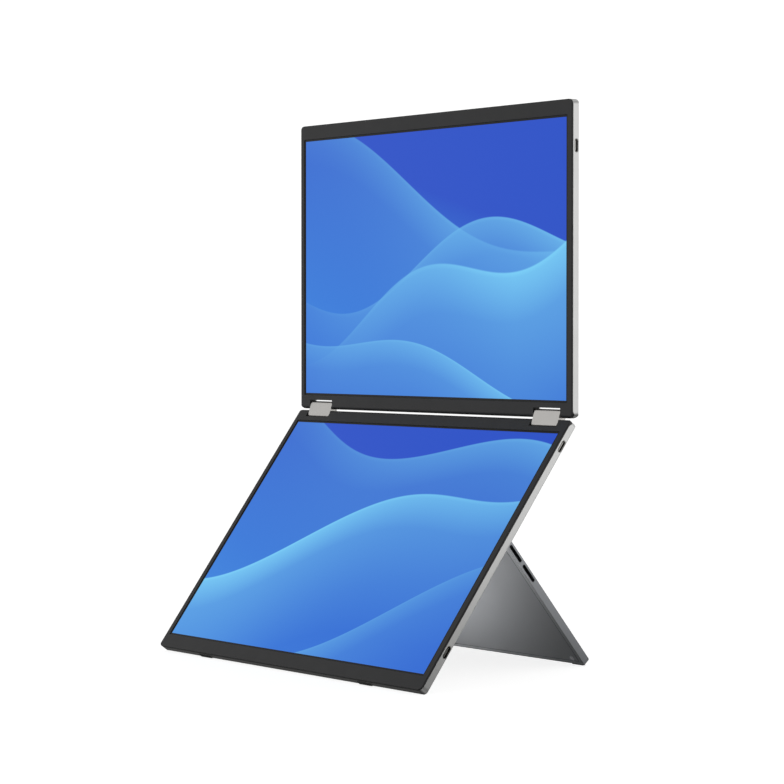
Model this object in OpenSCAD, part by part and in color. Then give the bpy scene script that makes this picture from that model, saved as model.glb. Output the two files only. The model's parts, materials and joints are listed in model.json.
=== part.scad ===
// Folding dual-screen extender for a laptop.
// Two identical slim displays stand one above the other, joined by a pair of
// geared double-axis hinges. A thick kickstand on the back of the lower
// display props it up at a lean, with the upper display upright above it.
// All sizes are in millimetres. +X is the viewer's right, +Y points away
// from the viewer and +Z is up. The soles of the feet lie on Z = 0.

/* [Display] */
// Width of the lit picture area
active_w = 301.6; // [250:0.1:370]
// Height of the lit picture area
active_h = 188.5; // [155:0.1:232]
// Frame width beside the picture
side_bezel = 6.1; // [5.6:0.1:12]
// Frame width along the edge away from the hinge
far_bezel = 11.8; // [9:0.1:20]
// Frame width along the hinge edge
hinge_bezel = 11.8; // [11.4:0.1:20]
// Black margin between the picture and the frame
black_border = 1.6; // [0.8:0.1:2.4]
// Thickness of one display
screen_t = 6.4; // [6.2:0.1:8]
// Radius of the corners seen from the front
corner_r = 4; // [2:0.5:8]
// Thickness of the dark front frame
bezel_t = 1.3; // [1.1:0.1:1.6]
// Thickness of the frame where it laps over the glass
bezel_lip = 0.5; // [0.4:0.05:0.7]
// Overlap of the frame on the glass
glass_lap = 1.4; // [1:0.1:2]
// Thickness of the display glass
glass_t = 0.8; // [0.6:0.1:1]
// Thickness of the backlight unit
backlight_t = 1.0; // [0.8:0.1:1.1]
// Skin of the metal back cover
cover_skin = 1.0; // [0.8:0.1:1.2]
// Side walls of the metal back cover
cover_wall = 1.4; // [1.2:0.1:2]
// Chamfer on the front edge of the frame
edge_chamfer = 0.4; // [0.2:0.1:0.6]
// Fillet on the rear edges of the back cover
edge_fillet = 0.8; // [0.4:0.1:1.2]

/* [Fold hinge] */
// Distance from a display's hinge edge to its hinge axis
axis_inset = 2.6; // [2.4:0.1:3]
// Rounding of the hinge edge in section
nose_r = 2.4; // [2:0.1:2.4]
// How far the dark frame wraps round the hinge edge
nose_wrap = 2.8; // [2:0.1:3.2]
// Air left between the folded displays
fold_gap = 0.7; // [0.5:0.1:1.5]
// Width of one hinge cover
hinge_w = 27; // [24:0.5:36]
// Thickness of the hinge cover
hinge_t = 5.8; // [5.4:0.1:6.2]
// Length of the hinge cover past each axis
hinge_reach = 2.9; // [2.6:0.1:3.2]
// Corner radius of the hinge cover in section
hinge_corner_r = 2; // [1.6:0.1:2.4]
// Distance from the display's side to the hinge cover
hinge_side = 12.35; // [8:0.05:30]
// Side clearance of the hinge cover in its slot
slot_side_gap = 0.6; // [0.4:0.1:1]
// Open slit past the end of the hinge cover
slot_slit = 1.2; // [0.9:0.1:1.6]
// Radius of the hinge shafts
shaft_r = 1.0; // [0.8:0.05:1]
// Number of teeth on each timing gear
gear_teeth = 12; // [10:2:16]

/* [Stance] */
// Lean of the lower display, back from upright
lower_lean = 36.5; // [25:0.5:45]

/* [Stand] */
// Width of the kickstand
stand_w = 200; // [170:1:225]
// Thickness of the kickstand
stand_t = 5.4; // [5:0.1:7]
// Air between the folded stand and the display
stand_gap = 0.6; // [0.5:0.1:1]
// Distance from the fold hinge axis to the stand hinge axis
stand_drop = 61.5; // [50:0.5:75]
// How far the folded stand passes the display's lower edge
stand_overhang = 1.0; // [0:0.1:3]
// Rim of the stand around its inner cover
stand_rim = 3.9; // [3:0.1:6]
// Corner radius of the stand seen from behind
stand_corner_r = 3; // [1:0.5:8]
// Rounding of the stand's free edge
stand_edge_r = 1.5; // [1:0.1:2.4]
// Length of a sound slot in the stand's side
sound_slot_len = 15.2; // [8:0.1:20]
// Width of a sound slot
sound_slot_w = 2.6; // [1.6:0.1:2.8]
// Spacing of the two sound slots
sound_slot_pitch = 18; // [17:0.5:24]

/* [Connectors and buttons] */
// Width of a connector opening
port_w = 9.3; // [9.2:0.05:9.6]
// Height of a connector opening
port_h = 3.4; // [3.36:0.02:3.6]
// Distance from the far edge to the outer connector
port_far = 31; // [20:0.5:60]
// Distance from the hinge edge to the inner connector
port_near = 19.6; // [18:0.2:40]
// Length of a side button
button_len = 10; // [8:0.5:16]
// Width of a side button
button_w = 2.2; // [1.8:0.1:2.6]
// Travel of a side button
button_travel = 0.3; // [0.2:0.05:0.4]
// Spacing of the side buttons
button_pitch = 16; // [14:0.5:24]

/* [Feet] */
// Length of a foot on the display's lower edge
edge_foot_len = 13; // [8:0.5:30]
// Distance of these feet from the line midway between them
edge_foot_x = 96; // [60:1:120]
// Offset of that line from the middle of the display
edge_foot_shift = -3.5; // [-10:0.5:10]
// Length of a foot on the stand
stand_foot_len = 11; // [6:0.5:20]
// Distance from the stand's side to its foot
stand_foot_side = 3; // [3:0.5:20]
// Length of the pad that guards the stand's outer face by each foot
stand_pad_len = 11.8; // [6:0.1:20]

/* [Hidden] */
$fn = 64;

// Clearances
run_fit = 0.04;
seat_fit = 0.02;
slide_fit = 0.12;
lay_gap = 0.15;

// Whole display, measured from its hinge axis
screen_w = active_w + 2 * side_bezel;
side_x = screen_w / 2;
front_y = -screen_t / 2;
back_y = screen_t / 2;
edge_z = -axis_inset;
active_z = hinge_bezel - axis_inset;
far_z = active_z + active_h + far_bezel;
seam_y = front_y + nose_wrap;
nose_lip = cover_skin;
lip_root_r = nose_r - nose_lip - 0.1;
cheek_r = 5;

// Layers behind the front frame
glass_y = front_y + bezel_lip;
backlight_y = glass_y + glass_t;
module_back_y = backlight_y + backlight_t;
floor_y = back_y - cover_skin;
glass_margin = black_border + glass_lap;
backlight_side = 0.2;
backlight_far = 3;

// Circuit boards
board_t = 0.8;
board_y = floor_y - 0.5 - board_t;
chip_t = min(0.8, board_y - module_back_y - 0.1);
cable_t = 0.3;

// Fold hinge
axis_spacing = screen_t + fold_gap;
rest_turn = lower_lean / 2;
hinge_out_x = side_x - hinge_side;
hinge_in_x = hinge_out_x - hinge_w;
slot_z = hinge_reach + slot_slit;
pocket_wall = 1.1;
hinge_wall = 0.9;
hinge_end_wall = 1.2;
plate_t = 2.4;
plate_gap = 0.5;
gear_face = 3.5;
gear_x = 0.3 + plate_t + plate_gap;
second_plate_x = gear_x + gear_face + plate_gap;
clip_count = 6;
clip_t = 1.4;
clip_pitch = 1.6;
clip_x = second_plate_x + plate_t + 0.3;
clip_ring = 0.75;
shaft_end_x = clip_x + clip_count * clip_pitch + 0.6;
gear_pitch_r = axis_spacing / 6;
gear_module = 2 * gear_pitch_r / gear_teeth;
gear_tip_r = gear_pitch_r + 0.9 * gear_module;
gear_root_r = gear_pitch_r - 1.25 * gear_module;
gear_backlash = 1.1;
idler_axle_r = 0.5;
barrel_r = shaft_r + 0.55;
barrel_len = 14;
bracket_gap = 1.2;
bracket_len = 24;
bracket_reach = 22;
bracket_t = 0.8;
boss_h = 0.9;
bracket_y = floor_y - boss_h - bracket_t;
shaft_in_x = hinge_in_x - slot_side_gap - pocket_wall - bracket_gap - barrel_len;

// Small screws
screw_r = 0.75;
screw_head_r = 1.4;
screw_head_h = 0.4;
boss_r = 2.2;
boss_depth = 1.4;

// Stand, measured from its own hinge axis
stand_axis_y = back_y + stand_gap + stand_t / 2;
stand_len = far_z + stand_overhang - stand_drop;
stand_skin = 1.0;
stand_ledge = 1.0;
stand_top_rim = 5;
knuckle_x = stand_w * 0.35;
knuckle_w = 12;
knuckle_r = stand_t / 2 - 0.35;
knuckle_gap = 0.4;
notch_z = stand_t / 2 + 0.2;
neck_t = 3;
pin_r = 1.0;
ear_w = 8;
ear_r = stand_t / 2 - stand_skin - 0.05;
leaf_reach = 20;
leaf_t = 0.9;
mount_leaf_w = 18;
mount_leaf_reach = 9;
slot_first = 38.7;
speaker_w = 18;
speaker_margin = 3;
bumper_r = 2;
bumper_proud = 0.3;
bumper_inset = 6.3;
bumper_side = 10;

// Feet
edge_foot_r = 1.2;
edge_foot_proud = 0.6;
edge_foot_w = 4.2;
edge_foot_depth = 1.6;
edge_foot_root_r = 0.4;
edge_sole_cut = 0.1;
edge_foot_y = back_y - edge_foot_r;
edge_foot_z = far_z + edge_foot_proud - edge_foot_r;
stand_foot_r = 1.6;
stand_foot_proud = 0.9;
stand_foot_y = stand_foot_r - stand_t / 2;
stand_foot_z = stand_len + stand_foot_proud - stand_foot_r;
stand_foot_x = stand_w / 2 - stand_foot_side - stand_foot_len / 2;
stand_sole_cut = 0.25;
stand_pad_proud = 0.6;
stand_pad_depth = 0.5;
stand_pad_edge_r = 0.5;
stand_pad_corner_r = 1.5;

// Connectors and buttons
shell_w = 8.94;
shell_h = 3.26;
shell_t = 0.32;
shell_len = 7.3;
shell_inset = 0.2;
tongue_w = 6.7;
tongue_t = 0.7;
port_y = (front_y + bezel_t + back_y) / 2 + 0.1;
port_far_z = far_z - port_far;
port_near_z = port_near - axis_inset;
av_w = 11.2;
av_h = 3.2;
av_z = port_near_z + 12;
io_board_len = 11;
io_board_w = 16;
first_button_z = far_z - port_far;
button_flange = 1.0;
button_flange_side = 0.2;
button_flange_t = 0.6;
button_depth = cover_wall + button_flange_t;
switch_depth = 2.6;
switch_gap = button_travel + 0.1;

// Height of the fold hinge above the floor, from the lean and the front feet
lower_axis_z = edge_foot_y * sin(lower_lean) + edge_foot_z * cos(lower_lean)
    + edge_foot_r - edge_sole_cut;
// Height of the stand hinge, and the stand angle that brings its feet down
stand_axis_h = lower_axis_z - stand_axis_y * sin(lower_lean)
    - stand_drop * cos(lower_lean);
stand_foot_arm = norm([stand_foot_y, stand_foot_z]);
stand_slope = asin((stand_axis_h - stand_foot_r + stand_sole_cut) / stand_foot_arm)
    - atan2(-stand_foot_y, stand_foot_z);
stand_open = 90 + lower_lean - stand_slope;
// Depth of the whole object, to centre it on the origin
front_most = (front_y) * cos(lower_lean) - (far_z - edge_chamfer) * sin(lower_lean);
stand_axis_d = stand_axis_y * cos(lower_lean) - stand_drop * sin(lower_lean);
back_most = stand_axis_d + (stand_len - stand_pad_edge_r) * cos(stand_slope)
    + (stand_t / 2 + stand_pad_proud - stand_pad_edge_r) * sin(stand_slope)
    + stand_pad_edge_r;
lower_axis_y = -(front_most + back_most) / 2;

// ---------------------------------------------------------------- placing

// Display frame of the lower screen: +Z runs from the hinge down the screen
module in_lower() {
    translate([0, lower_axis_y, lower_axis_z])
        rotate([-lower_lean, 0, 0])
            mirror([0, 0, 1])
                children();
}

// Link frame: +Z runs from the lower hinge axis to the upper one
module in_link() {
    translate([0, lower_axis_y, lower_axis_z])
        rotate([-rest_turn, 0, 0])
            children();
}

// Display frame of the upper screen, which stands upright
module in_upper() {
    translate([
        0,
        lower_axis_y + axis_spacing * sin(rest_turn),
        lower_axis_z + axis_spacing * cos(rest_turn)
    ])
        children();
}

// Stand frame: +Z runs from its hinge to its foot, +Y is its outer side
module in_stand() {
    in_lower()
        translate([0, stand_axis_y, stand_drop])
            rotate([-stand_open, 0, 0])
                children();
}

module both_sides() {
    children();
    mirror([1, 0, 0])
        children();
}

// ---------------------------------------------------------------- outlines

// Rectangle with its own radius on the low pair and the high pair of corners
module soft_rect(low, high, r_low, r_high) {
    translate([low[0], low[1] + r_low])
        square([high[0] - low[0], high[1] - r_high - low[1] - r_low]);
    translate([low[0] + r_low, low[1]])
        square([high[0] - low[0] - 2 * r_low, high[1] - r_high - low[1]]);
    translate([low[0] + r_high, low[1] + r_low])
        square([high[0] - low[0] - 2 * r_high, high[1] - low[1] - r_low]);
    for (x = [low[0] + r_low, high[0] - r_low])
        translate([x, low[1] + r_low])
            circle(r_low);
    for (x = [low[0] + r_high, high[0] - r_high])
        translate([x, high[1] - r_high])
            circle(r_high);
}

// Slot outline with round ends, its length along Y
module stadium(len, w) {
    translate([-w / 2, -(len - w) / 2])
        square([w, len - w]);
    for (s = [-1, 1])
        translate([0, s * (len - w) / 2])
            circle(w / 2);
}

// A Y-Z outline carried along X from x0 to x1
module along_x(x0, x1) {
    translate([x0, 0, 0])
        rotate([90, 0, 90])
            linear_extrude(x1 - x0)
                children();
}

// An X-Z outline carried along Y from y0 to y1
module along_y(y0, y1) {
    translate([0, y1, 0])
        rotate([90, 0, 0])
            linear_extrude(y1 - y0)
                children();
}

// An X-Y outline carried along Z from z0 to z1
module along_z(z0, z1) {
    translate([0, 0, z0])
        linear_extrude(z1 - z0)
            children();
}

module block(low, high) {
    translate(low)
        cube(high - low);
}

// Box that is centred on X = 0
module centred_block(w, y0, y1, z0, z1) {
    block([-w / 2, y0, z0], [w / 2, y1, z1]);
}

// Round bar along X
module bar(x0, x1, r) {
    translate([x0, 0, 0])
        rotate([0, 90, 0])
            cylinder(h = x1 - x0, r = r);
}

// Round post along Y
module post(x, z, y0, y1, r) {
    translate([x, y0, z])
        rotate([-90, 0, 0])
            cylinder(h = y1 - y0, r = r);
}

// ---------------------------------------------------------------- displays

// Section of a display: round hinge edge, chamfered front and filleted back
module screen_section() {
    c = edge_chamfer;
    f = edge_fillet;
    difference() {
        union() {
            soft_rect([front_y, edge_z], [back_y, far_z - f], nose_r, 0.01);
            translate([front_y, active_z])
                square([screen_t - f, far_z - active_z]);
            translate([back_y - f, far_z - f])
                circle(f);
        }
        polygon([
            [front_y - c, far_z - 2 * c],
            [front_y - c, far_z + c],
            [front_y + 2 * c, far_z + c]
        ]);
    }
}

// The same edges on the two sides, seen along the display's height
module screen_plan() {
    c = edge_chamfer;
    f = edge_fillet;
    difference() {
        union() {
            translate([-side_x, front_y])
                square([screen_w, screen_t - f]);
            translate([f - side_x, front_y])
                square([screen_w - 2 * f, screen_t]);
            for (s = [-1, 1])
                translate([s * (side_x - f), back_y - f])
                    circle(f);
        }
        for (s = [-1, 1])
            polygon([
                [s * (side_x - 2 * c), front_y - c],
                [s * (side_x + c), front_y - c],
                [s * (side_x + c), front_y + 2 * c]
            ]);
    }
}

module screen_outline() {
    soft_rect([-side_x, edge_z], [side_x, far_z], corner_r, corner_r);
}

// Whole display as one closed body
module screen_body() {
    intersection() {
        along_x(-side_x, side_x)
            screen_section();
        along_z(edge_z, far_z)
            screen_plan();
        along_y(front_y, back_y)
            screen_outline();
    }
}

// Section of the front frame: a flat plate with a lip round the hinge edge
module bezel_section(root_r) {
    difference() {
        translate([front_y - 1, edge_z - 1])
            square([seam_y - front_y + 1, far_z - edge_z + 2]);
        soft_rect(
            [front_y + bezel_t, edge_z + nose_lip],
            [back_y + 10, far_z + 10],
            root_r, 1
        );
    }
}

// Its region, with rounder roots where the side walls of the back cover end
module bezel_zone() {
    along_x(cover_wall - side_x, side_x - cover_wall)
        bezel_section(lip_root_r);
    both_sides()
        along_x(side_x - cover_wall, side_x + 1)
            bezel_section(cheek_r);
}

// Room inside the back cover, shrunk by a margin
module cavity(margin) {
    along_x(cover_wall + margin - side_x, side_x - cover_wall - margin)
        soft_rect(
            [front_y - 5, edge_z + cover_skin + margin],
            [floor_y - margin, far_z - cover_wall - margin],
            nose_r - cover_skin - margin, 0.4
        );
}

// Through slots for the hinge covers
module hinge_slots() {
    both_sides()
        block(
            [hinge_in_x - slot_side_gap, front_y - 1, edge_z - 1],
            [hinge_out_x + slot_side_gap, back_y + 1, slot_z]
        );
}

module bezel() {
    window_x = active_w / 2 + black_border;
    seat_x = active_w / 2 + glass_margin + lay_gap;
    difference() {
        union() {
            intersection() {
                screen_body();
                union() {
                    bezel_zone();
                    slot_pockets(seam_y);
                }
            }
            intersection() {
                slot_pockets(back_y);
                cavity(seat_fit);
            }
        }
        both_sides()
            bar(hinge_in_x - slot_side_gap - pocket_wall - 1, hinge_in_x, shaft_r + seat_fit);
        block(
            [-window_x, front_y - 1, active_z - black_border],
            [window_x, front_y + bezel_t + 1, active_z + active_h + black_border]
        );
        block(
            [-seat_x, glass_y, active_z - glass_margin - lay_gap],
            [seat_x, front_y + bezel_t + 1, active_z + active_h + glass_margin + lay_gap]
        );
        hinge_slots();
    }
}

module glass() {
    w = active_w + 2 * glass_margin;
    centred_block(w, glass_y, backlight_y, active_z - glass_margin,
        active_z + active_h + glass_margin);
}

// Light guide in its pressed tray, with a folded rim and the lamp strip
module backlight() {
    rim = 1.2;
    rim_t = 0.4;
    w = active_w + 2 * (glass_margin + backlight_side);
    low = active_z - glass_margin;
    high = active_z + active_h + glass_margin + backlight_far;
    difference() {
        centred_block(w, backlight_y, module_back_y, low, high);
        for (k = [0:2])
            block(
                [-w / 2 + rim + k * w / 3, module_back_y - rim_t, low + rim],
                [-w / 2 - rim + (k + 1) * w / 3, module_back_y + 1, high - rim - backlight_far]
            );
    }
}

// Walls of the front frame round the hinge slots, as deep as y1
module slot_pockets(y1) {
    both_sides()
        block(
            [hinge_in_x - slot_side_gap - pocket_wall, front_y, edge_z],
            [hinge_out_x + slot_side_gap + pocket_wall, y1, slot_z + pocket_wall]
        );
}

// Screw positions of a hinge bracket on the right side
bracket_in_x = shaft_in_x + barrel_len - bracket_len;
bracket_screws = [
    for (x = [bracket_in_x + 4, bracket_in_x + bracket_len - 4])
        for (z = [7.5, bracket_reach - 3.5])
            [x, z]
];

module bracket_bosses() {
    both_sides()
        for (p = bracket_screws)
            post(p[0], p[1], floor_y - boss_h, floor_y + 0.1, boss_r);
}

module bracket_boss_holes() {
    both_sides()
        for (p = bracket_screws)
            post(p[0], p[1], floor_y - boss_h - 1, floor_y - boss_h + boss_depth, screw_r + run_fit);
}

// Opening for one connector in the right wall, its length up the display
module port_hole(z) {
    translate([0, port_y, z])
        along_x(side_x - cover_wall - 1, side_x + 1)
            stadium(port_w, port_h);
}

// Bay behind the wall that lets the connector shell sink into the skin
module port_bay(z, w, h) {
    block(
        [side_x - shell_len - 1, port_y - h / 2 - lay_gap, z - w / 2 - lay_gap],
        [side_x - cover_wall, port_y + h / 2 + lay_gap, z + w / 2 + lay_gap]
    );
}

module back_cover_shell() {
    difference() {
        union() {
            difference() {
                screen_body();
                cavity(0);
            }
            bracket_bosses();
        }
        bezel_zone();
        hinge_slots();
        bracket_boss_holes();
    }
}

// ---------------------------------------------------------------- fold hinge

// One tooth flank runs through the root, pitch and tip circles
function tooth(k, phase) =
    let (
        step = 360 / gear_teeth,
        mid = k * step + phase,
        root_a = step / 4 + 4.5 - gear_backlash,
        pitch_a = step / 4 - gear_backlash,
        tip_a = step / 4 - 4.6 - gear_backlash
    )
    [
        for (p = [
            [gear_root_r, -root_a], [gear_pitch_r, -pitch_a], [gear_tip_r, -tip_a],
            [gear_tip_r, tip_a], [gear_pitch_r, pitch_a], [gear_root_r, root_a]
        ])
            [-p[0] * sin(mid + p[1]), p[0] * cos(mid + p[1])]
    ];

module gear_outline(phase) {
    polygon([for (k = [0:gear_teeth - 1]) each tooth(k, phase)]);
}

// Gear body in the link frame of the right hinge, at a turn about its axis
module timing_gear(turn, phase) {
    along_x(hinge_in_x + gear_x, hinge_in_x + gear_x + gear_face)
        rotate(turn)
            gear_outline(phase);
}

half_tooth = 180 / gear_teeth;

// Shaft with its gear cut into it, from the bracket to inside the cover
module hinge_shaft(turn, phase) {
    gear_low = hinge_in_x + gear_x;
    bar(shaft_in_x, gear_low, shaft_r);
    bar(gear_low - 0.01, gear_low + gear_face + 0.01, gear_root_r);
    bar(gear_low + gear_face, hinge_in_x + shaft_end_x, shaft_r);
    timing_gear(turn, phase);
}

module idler_gear(turn, phase) {
    timing_gear(turn, phase);
    bar(
        hinge_in_x + gear_x - plate_gap - plate_t + 0.2,
        hinge_in_x + second_plate_x + plate_t - 0.2,
        idler_axle_r
    );
}

// Pressed bracket: a barrel round the shaft and a leaf screwed to the cover
module hinge_bracket() {
    x1 = shaft_in_x + barrel_len;
    difference() {
        union() {
            bar(shaft_in_x, x1, barrel_r);
            block([shaft_in_x, 0, 0], [x1, bracket_y + bracket_t, barrel_r]);
            block([shaft_in_x, bracket_y, 0], [x1, bracket_y + bracket_t, bracket_reach]);
            block([bracket_in_x, bracket_y, 3], [x1, bracket_y + bracket_t, bracket_reach]);
        }
        bar(shaft_in_x - 1, x1 + 1, shaft_r + seat_fit);
        for (p = bracket_screws) {
            post(p[0], p[1], bracket_y - 1, bracket_y + bracket_t + 1, screw_r + run_fit);
            post(p[0], p[1], bracket_y - 1, bracket_y + screw_head_h, screw_head_r + slide_fit);
        }
    }
}

// Flat screw with a cross recess, its head towards the front
module small_screw(x, z, y0, length) {
    difference() {
        union() {
            post(x, z, y0, y0 + screw_head_h, screw_head_r);
            post(x, z, y0, y0 + length, screw_r);
        }
        for (a = [0, 90])
            translate([x, y0 - 0.01, z])
                rotate([0, a, 0])
                    block([-0.8, 0, -0.15], [0.8, 0.25, 0.15]);
    }
}

module bracket_screw_set() {
    both_sides()
        for (p = bracket_screws)
            small_screw(p[0], p[1], bracket_y, bracket_t + boss_depth - 0.2);
}

// Section of the hinge cover in the link frame, grown or shrunk by a margin
module hinge_section(margin) {
    r = hinge_corner_r + margin;
    soft_rect(
        [-hinge_t / 2 - margin, -hinge_reach - margin],
        [hinge_t / 2 + margin, axis_spacing + hinge_reach + margin],
        r, r
    );
}

// Cup-shaped cover, open at its inner end, where the shafts go in
module hinge_cover() {
    difference() {
        along_x(hinge_in_x, hinge_out_x)
            hinge_section(0);
        along_x(hinge_in_x - 1, hinge_out_x - hinge_end_wall)
            hinge_section(-hinge_wall);
    }
}

// Plate across the cover with two shaft bores and two idler bores
module bearing_plate(x) {
    difference() {
        along_x(x, x + plate_t)
            hinge_section(-hinge_wall - seat_fit);
        for (z = [0, axis_spacing])
            translate([0, 0, z])
                bar(x - 1, x + plate_t + 1, shaft_r + run_fit);
        for (k = [1, 2])
            translate([0, 0, k * axis_spacing / 3])
                bar(x - 1, x + plate_t + 1, idler_axle_r + run_fit);
    }
}

// Split spring plates that grip both shafts
module friction_clip(x) {
    ring_r = shaft_r + clip_ring;
    difference() {
        union() {
            for (z = [0, axis_spacing])
                translate([0, 0, z])
                    bar(x, x + clip_t, ring_r);
            block([x, -hinge_t / 2 + hinge_wall + 0.1, 0], [x + clip_t, -0.4, axis_spacing]);
        }
        for (z = [0, axis_spacing])
            translate([0, 0, z])
                bar(x - 1, x + clip_t + 1, shaft_r + run_fit);
        block([x - 1, 0, -0.2], [x + clip_t + 1, ring_r + 1, 0.2]);
        block([x - 1, 0, axis_spacing - 0.2], [x + clip_t + 1, ring_r + 1, axis_spacing + 0.2]);
    }
}

// ---------------------------------------------------------------- lower display

module stand_windows() {
    both_sides()
        block(
            [knuckle_x - knuckle_w / 2 - slide_fit, floor_y - 1, stand_drop - neck_t / 2 - slide_fit],
            [knuckle_x + knuckle_w / 2 + slide_fit, back_y + 1, stand_drop + neck_t / 2 + slide_fit]
        );
}

mount_screws = [
    for (s = [-1, 1])
        [knuckle_x + s * (mount_leaf_w / 2 + 3), stand_drop]
];

// Rubber strips let into the lower edge, with a rounded outer side
module edge_foot_strips(grow) {
    half = edge_foot_len / 2 + grow;
    translate([edge_foot_shift, 0, 0])
        both_sides()
            along_x(edge_foot_x - half, edge_foot_x + half)
                soft_rect(
                    [back_y - edge_foot_w - grow, far_z - edge_foot_depth - grow],
                    [back_y + grow, far_z + edge_foot_proud + grow],
                    edge_foot_root_r + grow, edge_foot_r + grow
                );
}

// Thicker part of the edge that holds a strip
module edge_foot_seats() {
    half = edge_foot_len / 2 + 1.2;
    translate([edge_foot_shift, 0, 0])
        both_sides()
            block(
                [edge_foot_x - half, front_y + bezel_t, far_z - edge_foot_depth - 1],
                [edge_foot_x + half, back_y - 0.1, far_z - edge_fillet]
            );
}

module button_holes(grow) {
    for (k = [0:2])
        translate([0, port_y, first_button_z - k * button_pitch])
            along_x(-side_x - 1, cover_wall - side_x + 1)
                stadium(button_len + 2 * grow, button_w + 2 * grow);
}

module av_hole(grow) {
    translate([0, port_y, av_z])
        along_x(-side_x - 1, cover_wall - side_x + 1)
            soft_rect(
                [-av_h / 2 - grow, -av_w / 2 - grow],
                [av_h / 2 + grow, av_w / 2 + grow],
                0.6, 0.6
            );
}

// Small pillars under the circuit boards
module board_pillars(points) {
    for (p = points)
        post(p[0], p[1], board_y + board_t, floor_y + 0.1, 1.6);
}

main_board_w = 100;
main_board_low = 26;
main_board_high = 76;
driver_board_w = 160;
driver_board_h = 15;
lower_driver_z = far_z - far_bezel - 8;
upper_driver_z = 12;
main_pillars = [
    for (x = [-1, 1])
        for (z = [main_board_low + 4, main_board_high - 4])
            [x * (main_board_w / 2 - 4), z]
];

function driver_pillars(z) = [
    for (x = [-1, 0, 1])
        [x * (driver_board_w / 2 - 5), z + driver_board_h / 2]
];

port_board_x = side_x - shell_inset - shell_len - io_board_len;

function port_pillars(z) = [
    for (s = [-1, 1])
        [port_board_x + 4, z + s * 5]
];

button_board_low = first_button_z - 2 * button_pitch - 8;
button_board_high = first_button_z + 8;
button_board_x = cover_wall - side_x + button_flange_t + switch_gap + switch_depth;
button_pillars = [
    for (z = [button_board_low + 3, button_board_high - 3])
        [button_board_x + 5, z]
];

module lower_back_cover() {
    color("silver")
        in_lower()
            difference() {
                union() {
                    back_cover_shell();
                    board_pillars(concat(
                        main_pillars, driver_pillars(lower_driver_z), button_pillars,
                        port_pillars(port_far_z), port_pillars(port_near_z)
                    ));
                    edge_foot_seats();
                }
                edge_foot_strips(seat_fit);
                stand_windows();
                both_sides()
                    for (p = mount_screws)
                        post(p[0], p[1], floor_y - 1, floor_y + 0.7, screw_r + run_fit);
                for (z = [port_far_z, port_near_z]) {
                    port_hole(z);
                    port_bay(z, shell_w, shell_h);
                }
                mirror([1, 0, 0])
                    port_bay(av_z, av_w, av_h);
                av_hole(slide_fit);
                button_holes(slide_fit);
            }
}

module lower_bezel() {
    color("#3b3b3d")
        in_lower()
            bezel();
}

module lower_glass() {
    color("#2f55c4")
        in_lower()
            glass();
}

module lower_backlight() {
    color("gainsboro")
        in_lower()
            backlight();
}

// Circuit board with a tin can over its chips and rows of small parts
module main_board() {
    color("darkgreen")
        in_lower() {
            difference() {
                centred_block(main_board_w, board_y, board_y + board_t, main_board_low, main_board_high);
                for (p = main_pillars)
                    post(p[0], p[1], board_y - 1, board_y + board_t + 1, 0.9);
            }
            centred_block(38, board_y - chip_t, board_y + 0.05, main_board_low + 12, main_board_low + 38);
            for (k = [0:5])
                block(
                    [24 + k * 4, board_y - chip_t, main_board_low + 8],
                    [26.4 + k * 4, board_y + 0.05, main_board_low + 10]
                );
            for (s = [-1, 1])
                block(
                    [s * 34 - 6, board_y - chip_t, main_board_low + 18],
                    [s * 34 + 6, board_y + 0.05, main_board_low + 30]
                );
        }
}

module driver_board(z) {
    difference() {
        centred_block(driver_board_w, board_y, board_y + board_t, z, z + driver_board_h);
        for (p = driver_pillars(z))
            post(p[0], p[1], board_y - 1, board_y + board_t + 1, 0.9);
    }
    for (k = [-3:2])
        block(
            [4 + k * 22, board_y - chip_t, z + 5],
            [16 + k * 22, board_y + 0.05, z + 9]
        );
}

module lower_driver_board() {
    color("darkgreen")
        in_lower()
            driver_board(lower_driver_z);
}

// Flat cable from the main board to the driver board, lying on the skin
module lower_flat_cable() {
    color("orange")
        in_lower()
            centred_block(20, floor_y - cable_t, floor_y, main_board_high - 6, lower_driver_z + 4);
}

module port_board(z) {
    difference() {
        block(
            [port_board_x, board_y, z - io_board_w / 2],
            [side_x - shell_inset - shell_len, board_y + board_t, z + io_board_w / 2]
        );
        for (p = port_pillars(z))
            post(p[0], p[1], board_y - 1, board_y + board_t + 1, 0.9);
    }
    block(
        [port_board_x + 2, board_y - chip_t, z - 3],
        [port_board_x + 7, board_y + 0.05, z + 3]
    );
}

module lower_port_boards() {
    color("darkgreen")
        in_lower()
            for (z = [port_far_z, port_near_z])
                port_board(z);
}

// Connector: a drawn shell with a blind inner end and a tongue in the middle
module usb_port(z) {
    x1 = side_x - shell_inset;
    x0 = x1 - shell_len;
    translate([0, port_y, z]) {
        difference() {
            along_x(x0, x1)
                stadium(shell_w, shell_h);
            along_x(x0 + 1, x1 + 1)
                stadium(shell_w - 2 * shell_t, shell_h - 2 * shell_t);
        }
        along_x(x0 + 0.9, x1 - 0.8)
            translate([-tongue_t / 2, -tongue_w / 2])
                square([tongue_t, tongue_w]);
    }
}

module lower_usb_ports() {
    color("lightgray")
        in_lower()
            for (z = [port_far_z, port_near_z])
                usb_port(z);
}

module mini_hdmi_port() {
    t = shell_t;
    color("lightgray")
        in_lower()
            translate([0, port_y, av_z]) {
                difference() {
                    along_x(shell_inset - side_x, shell_inset + shell_len - side_x)
                        soft_rect([-av_h / 2, -av_w / 2], [av_h / 2, av_w / 2], 0.5, 0.5);
                    along_x(shell_inset - side_x - 1, shell_inset + shell_len - 1 - side_x)
                        soft_rect(
                            [t - av_h / 2, t - av_w / 2], [av_h / 2 - t, av_w / 2 - t],
                            0.2, 0.2
                        );
                }
                along_x(1 - side_x, shell_inset + shell_len - 0.9 - side_x)
                    translate([-0.35, 1.4 - av_w / 2])
                        square([0.7, av_w - 2.8]);
            }
}

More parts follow.
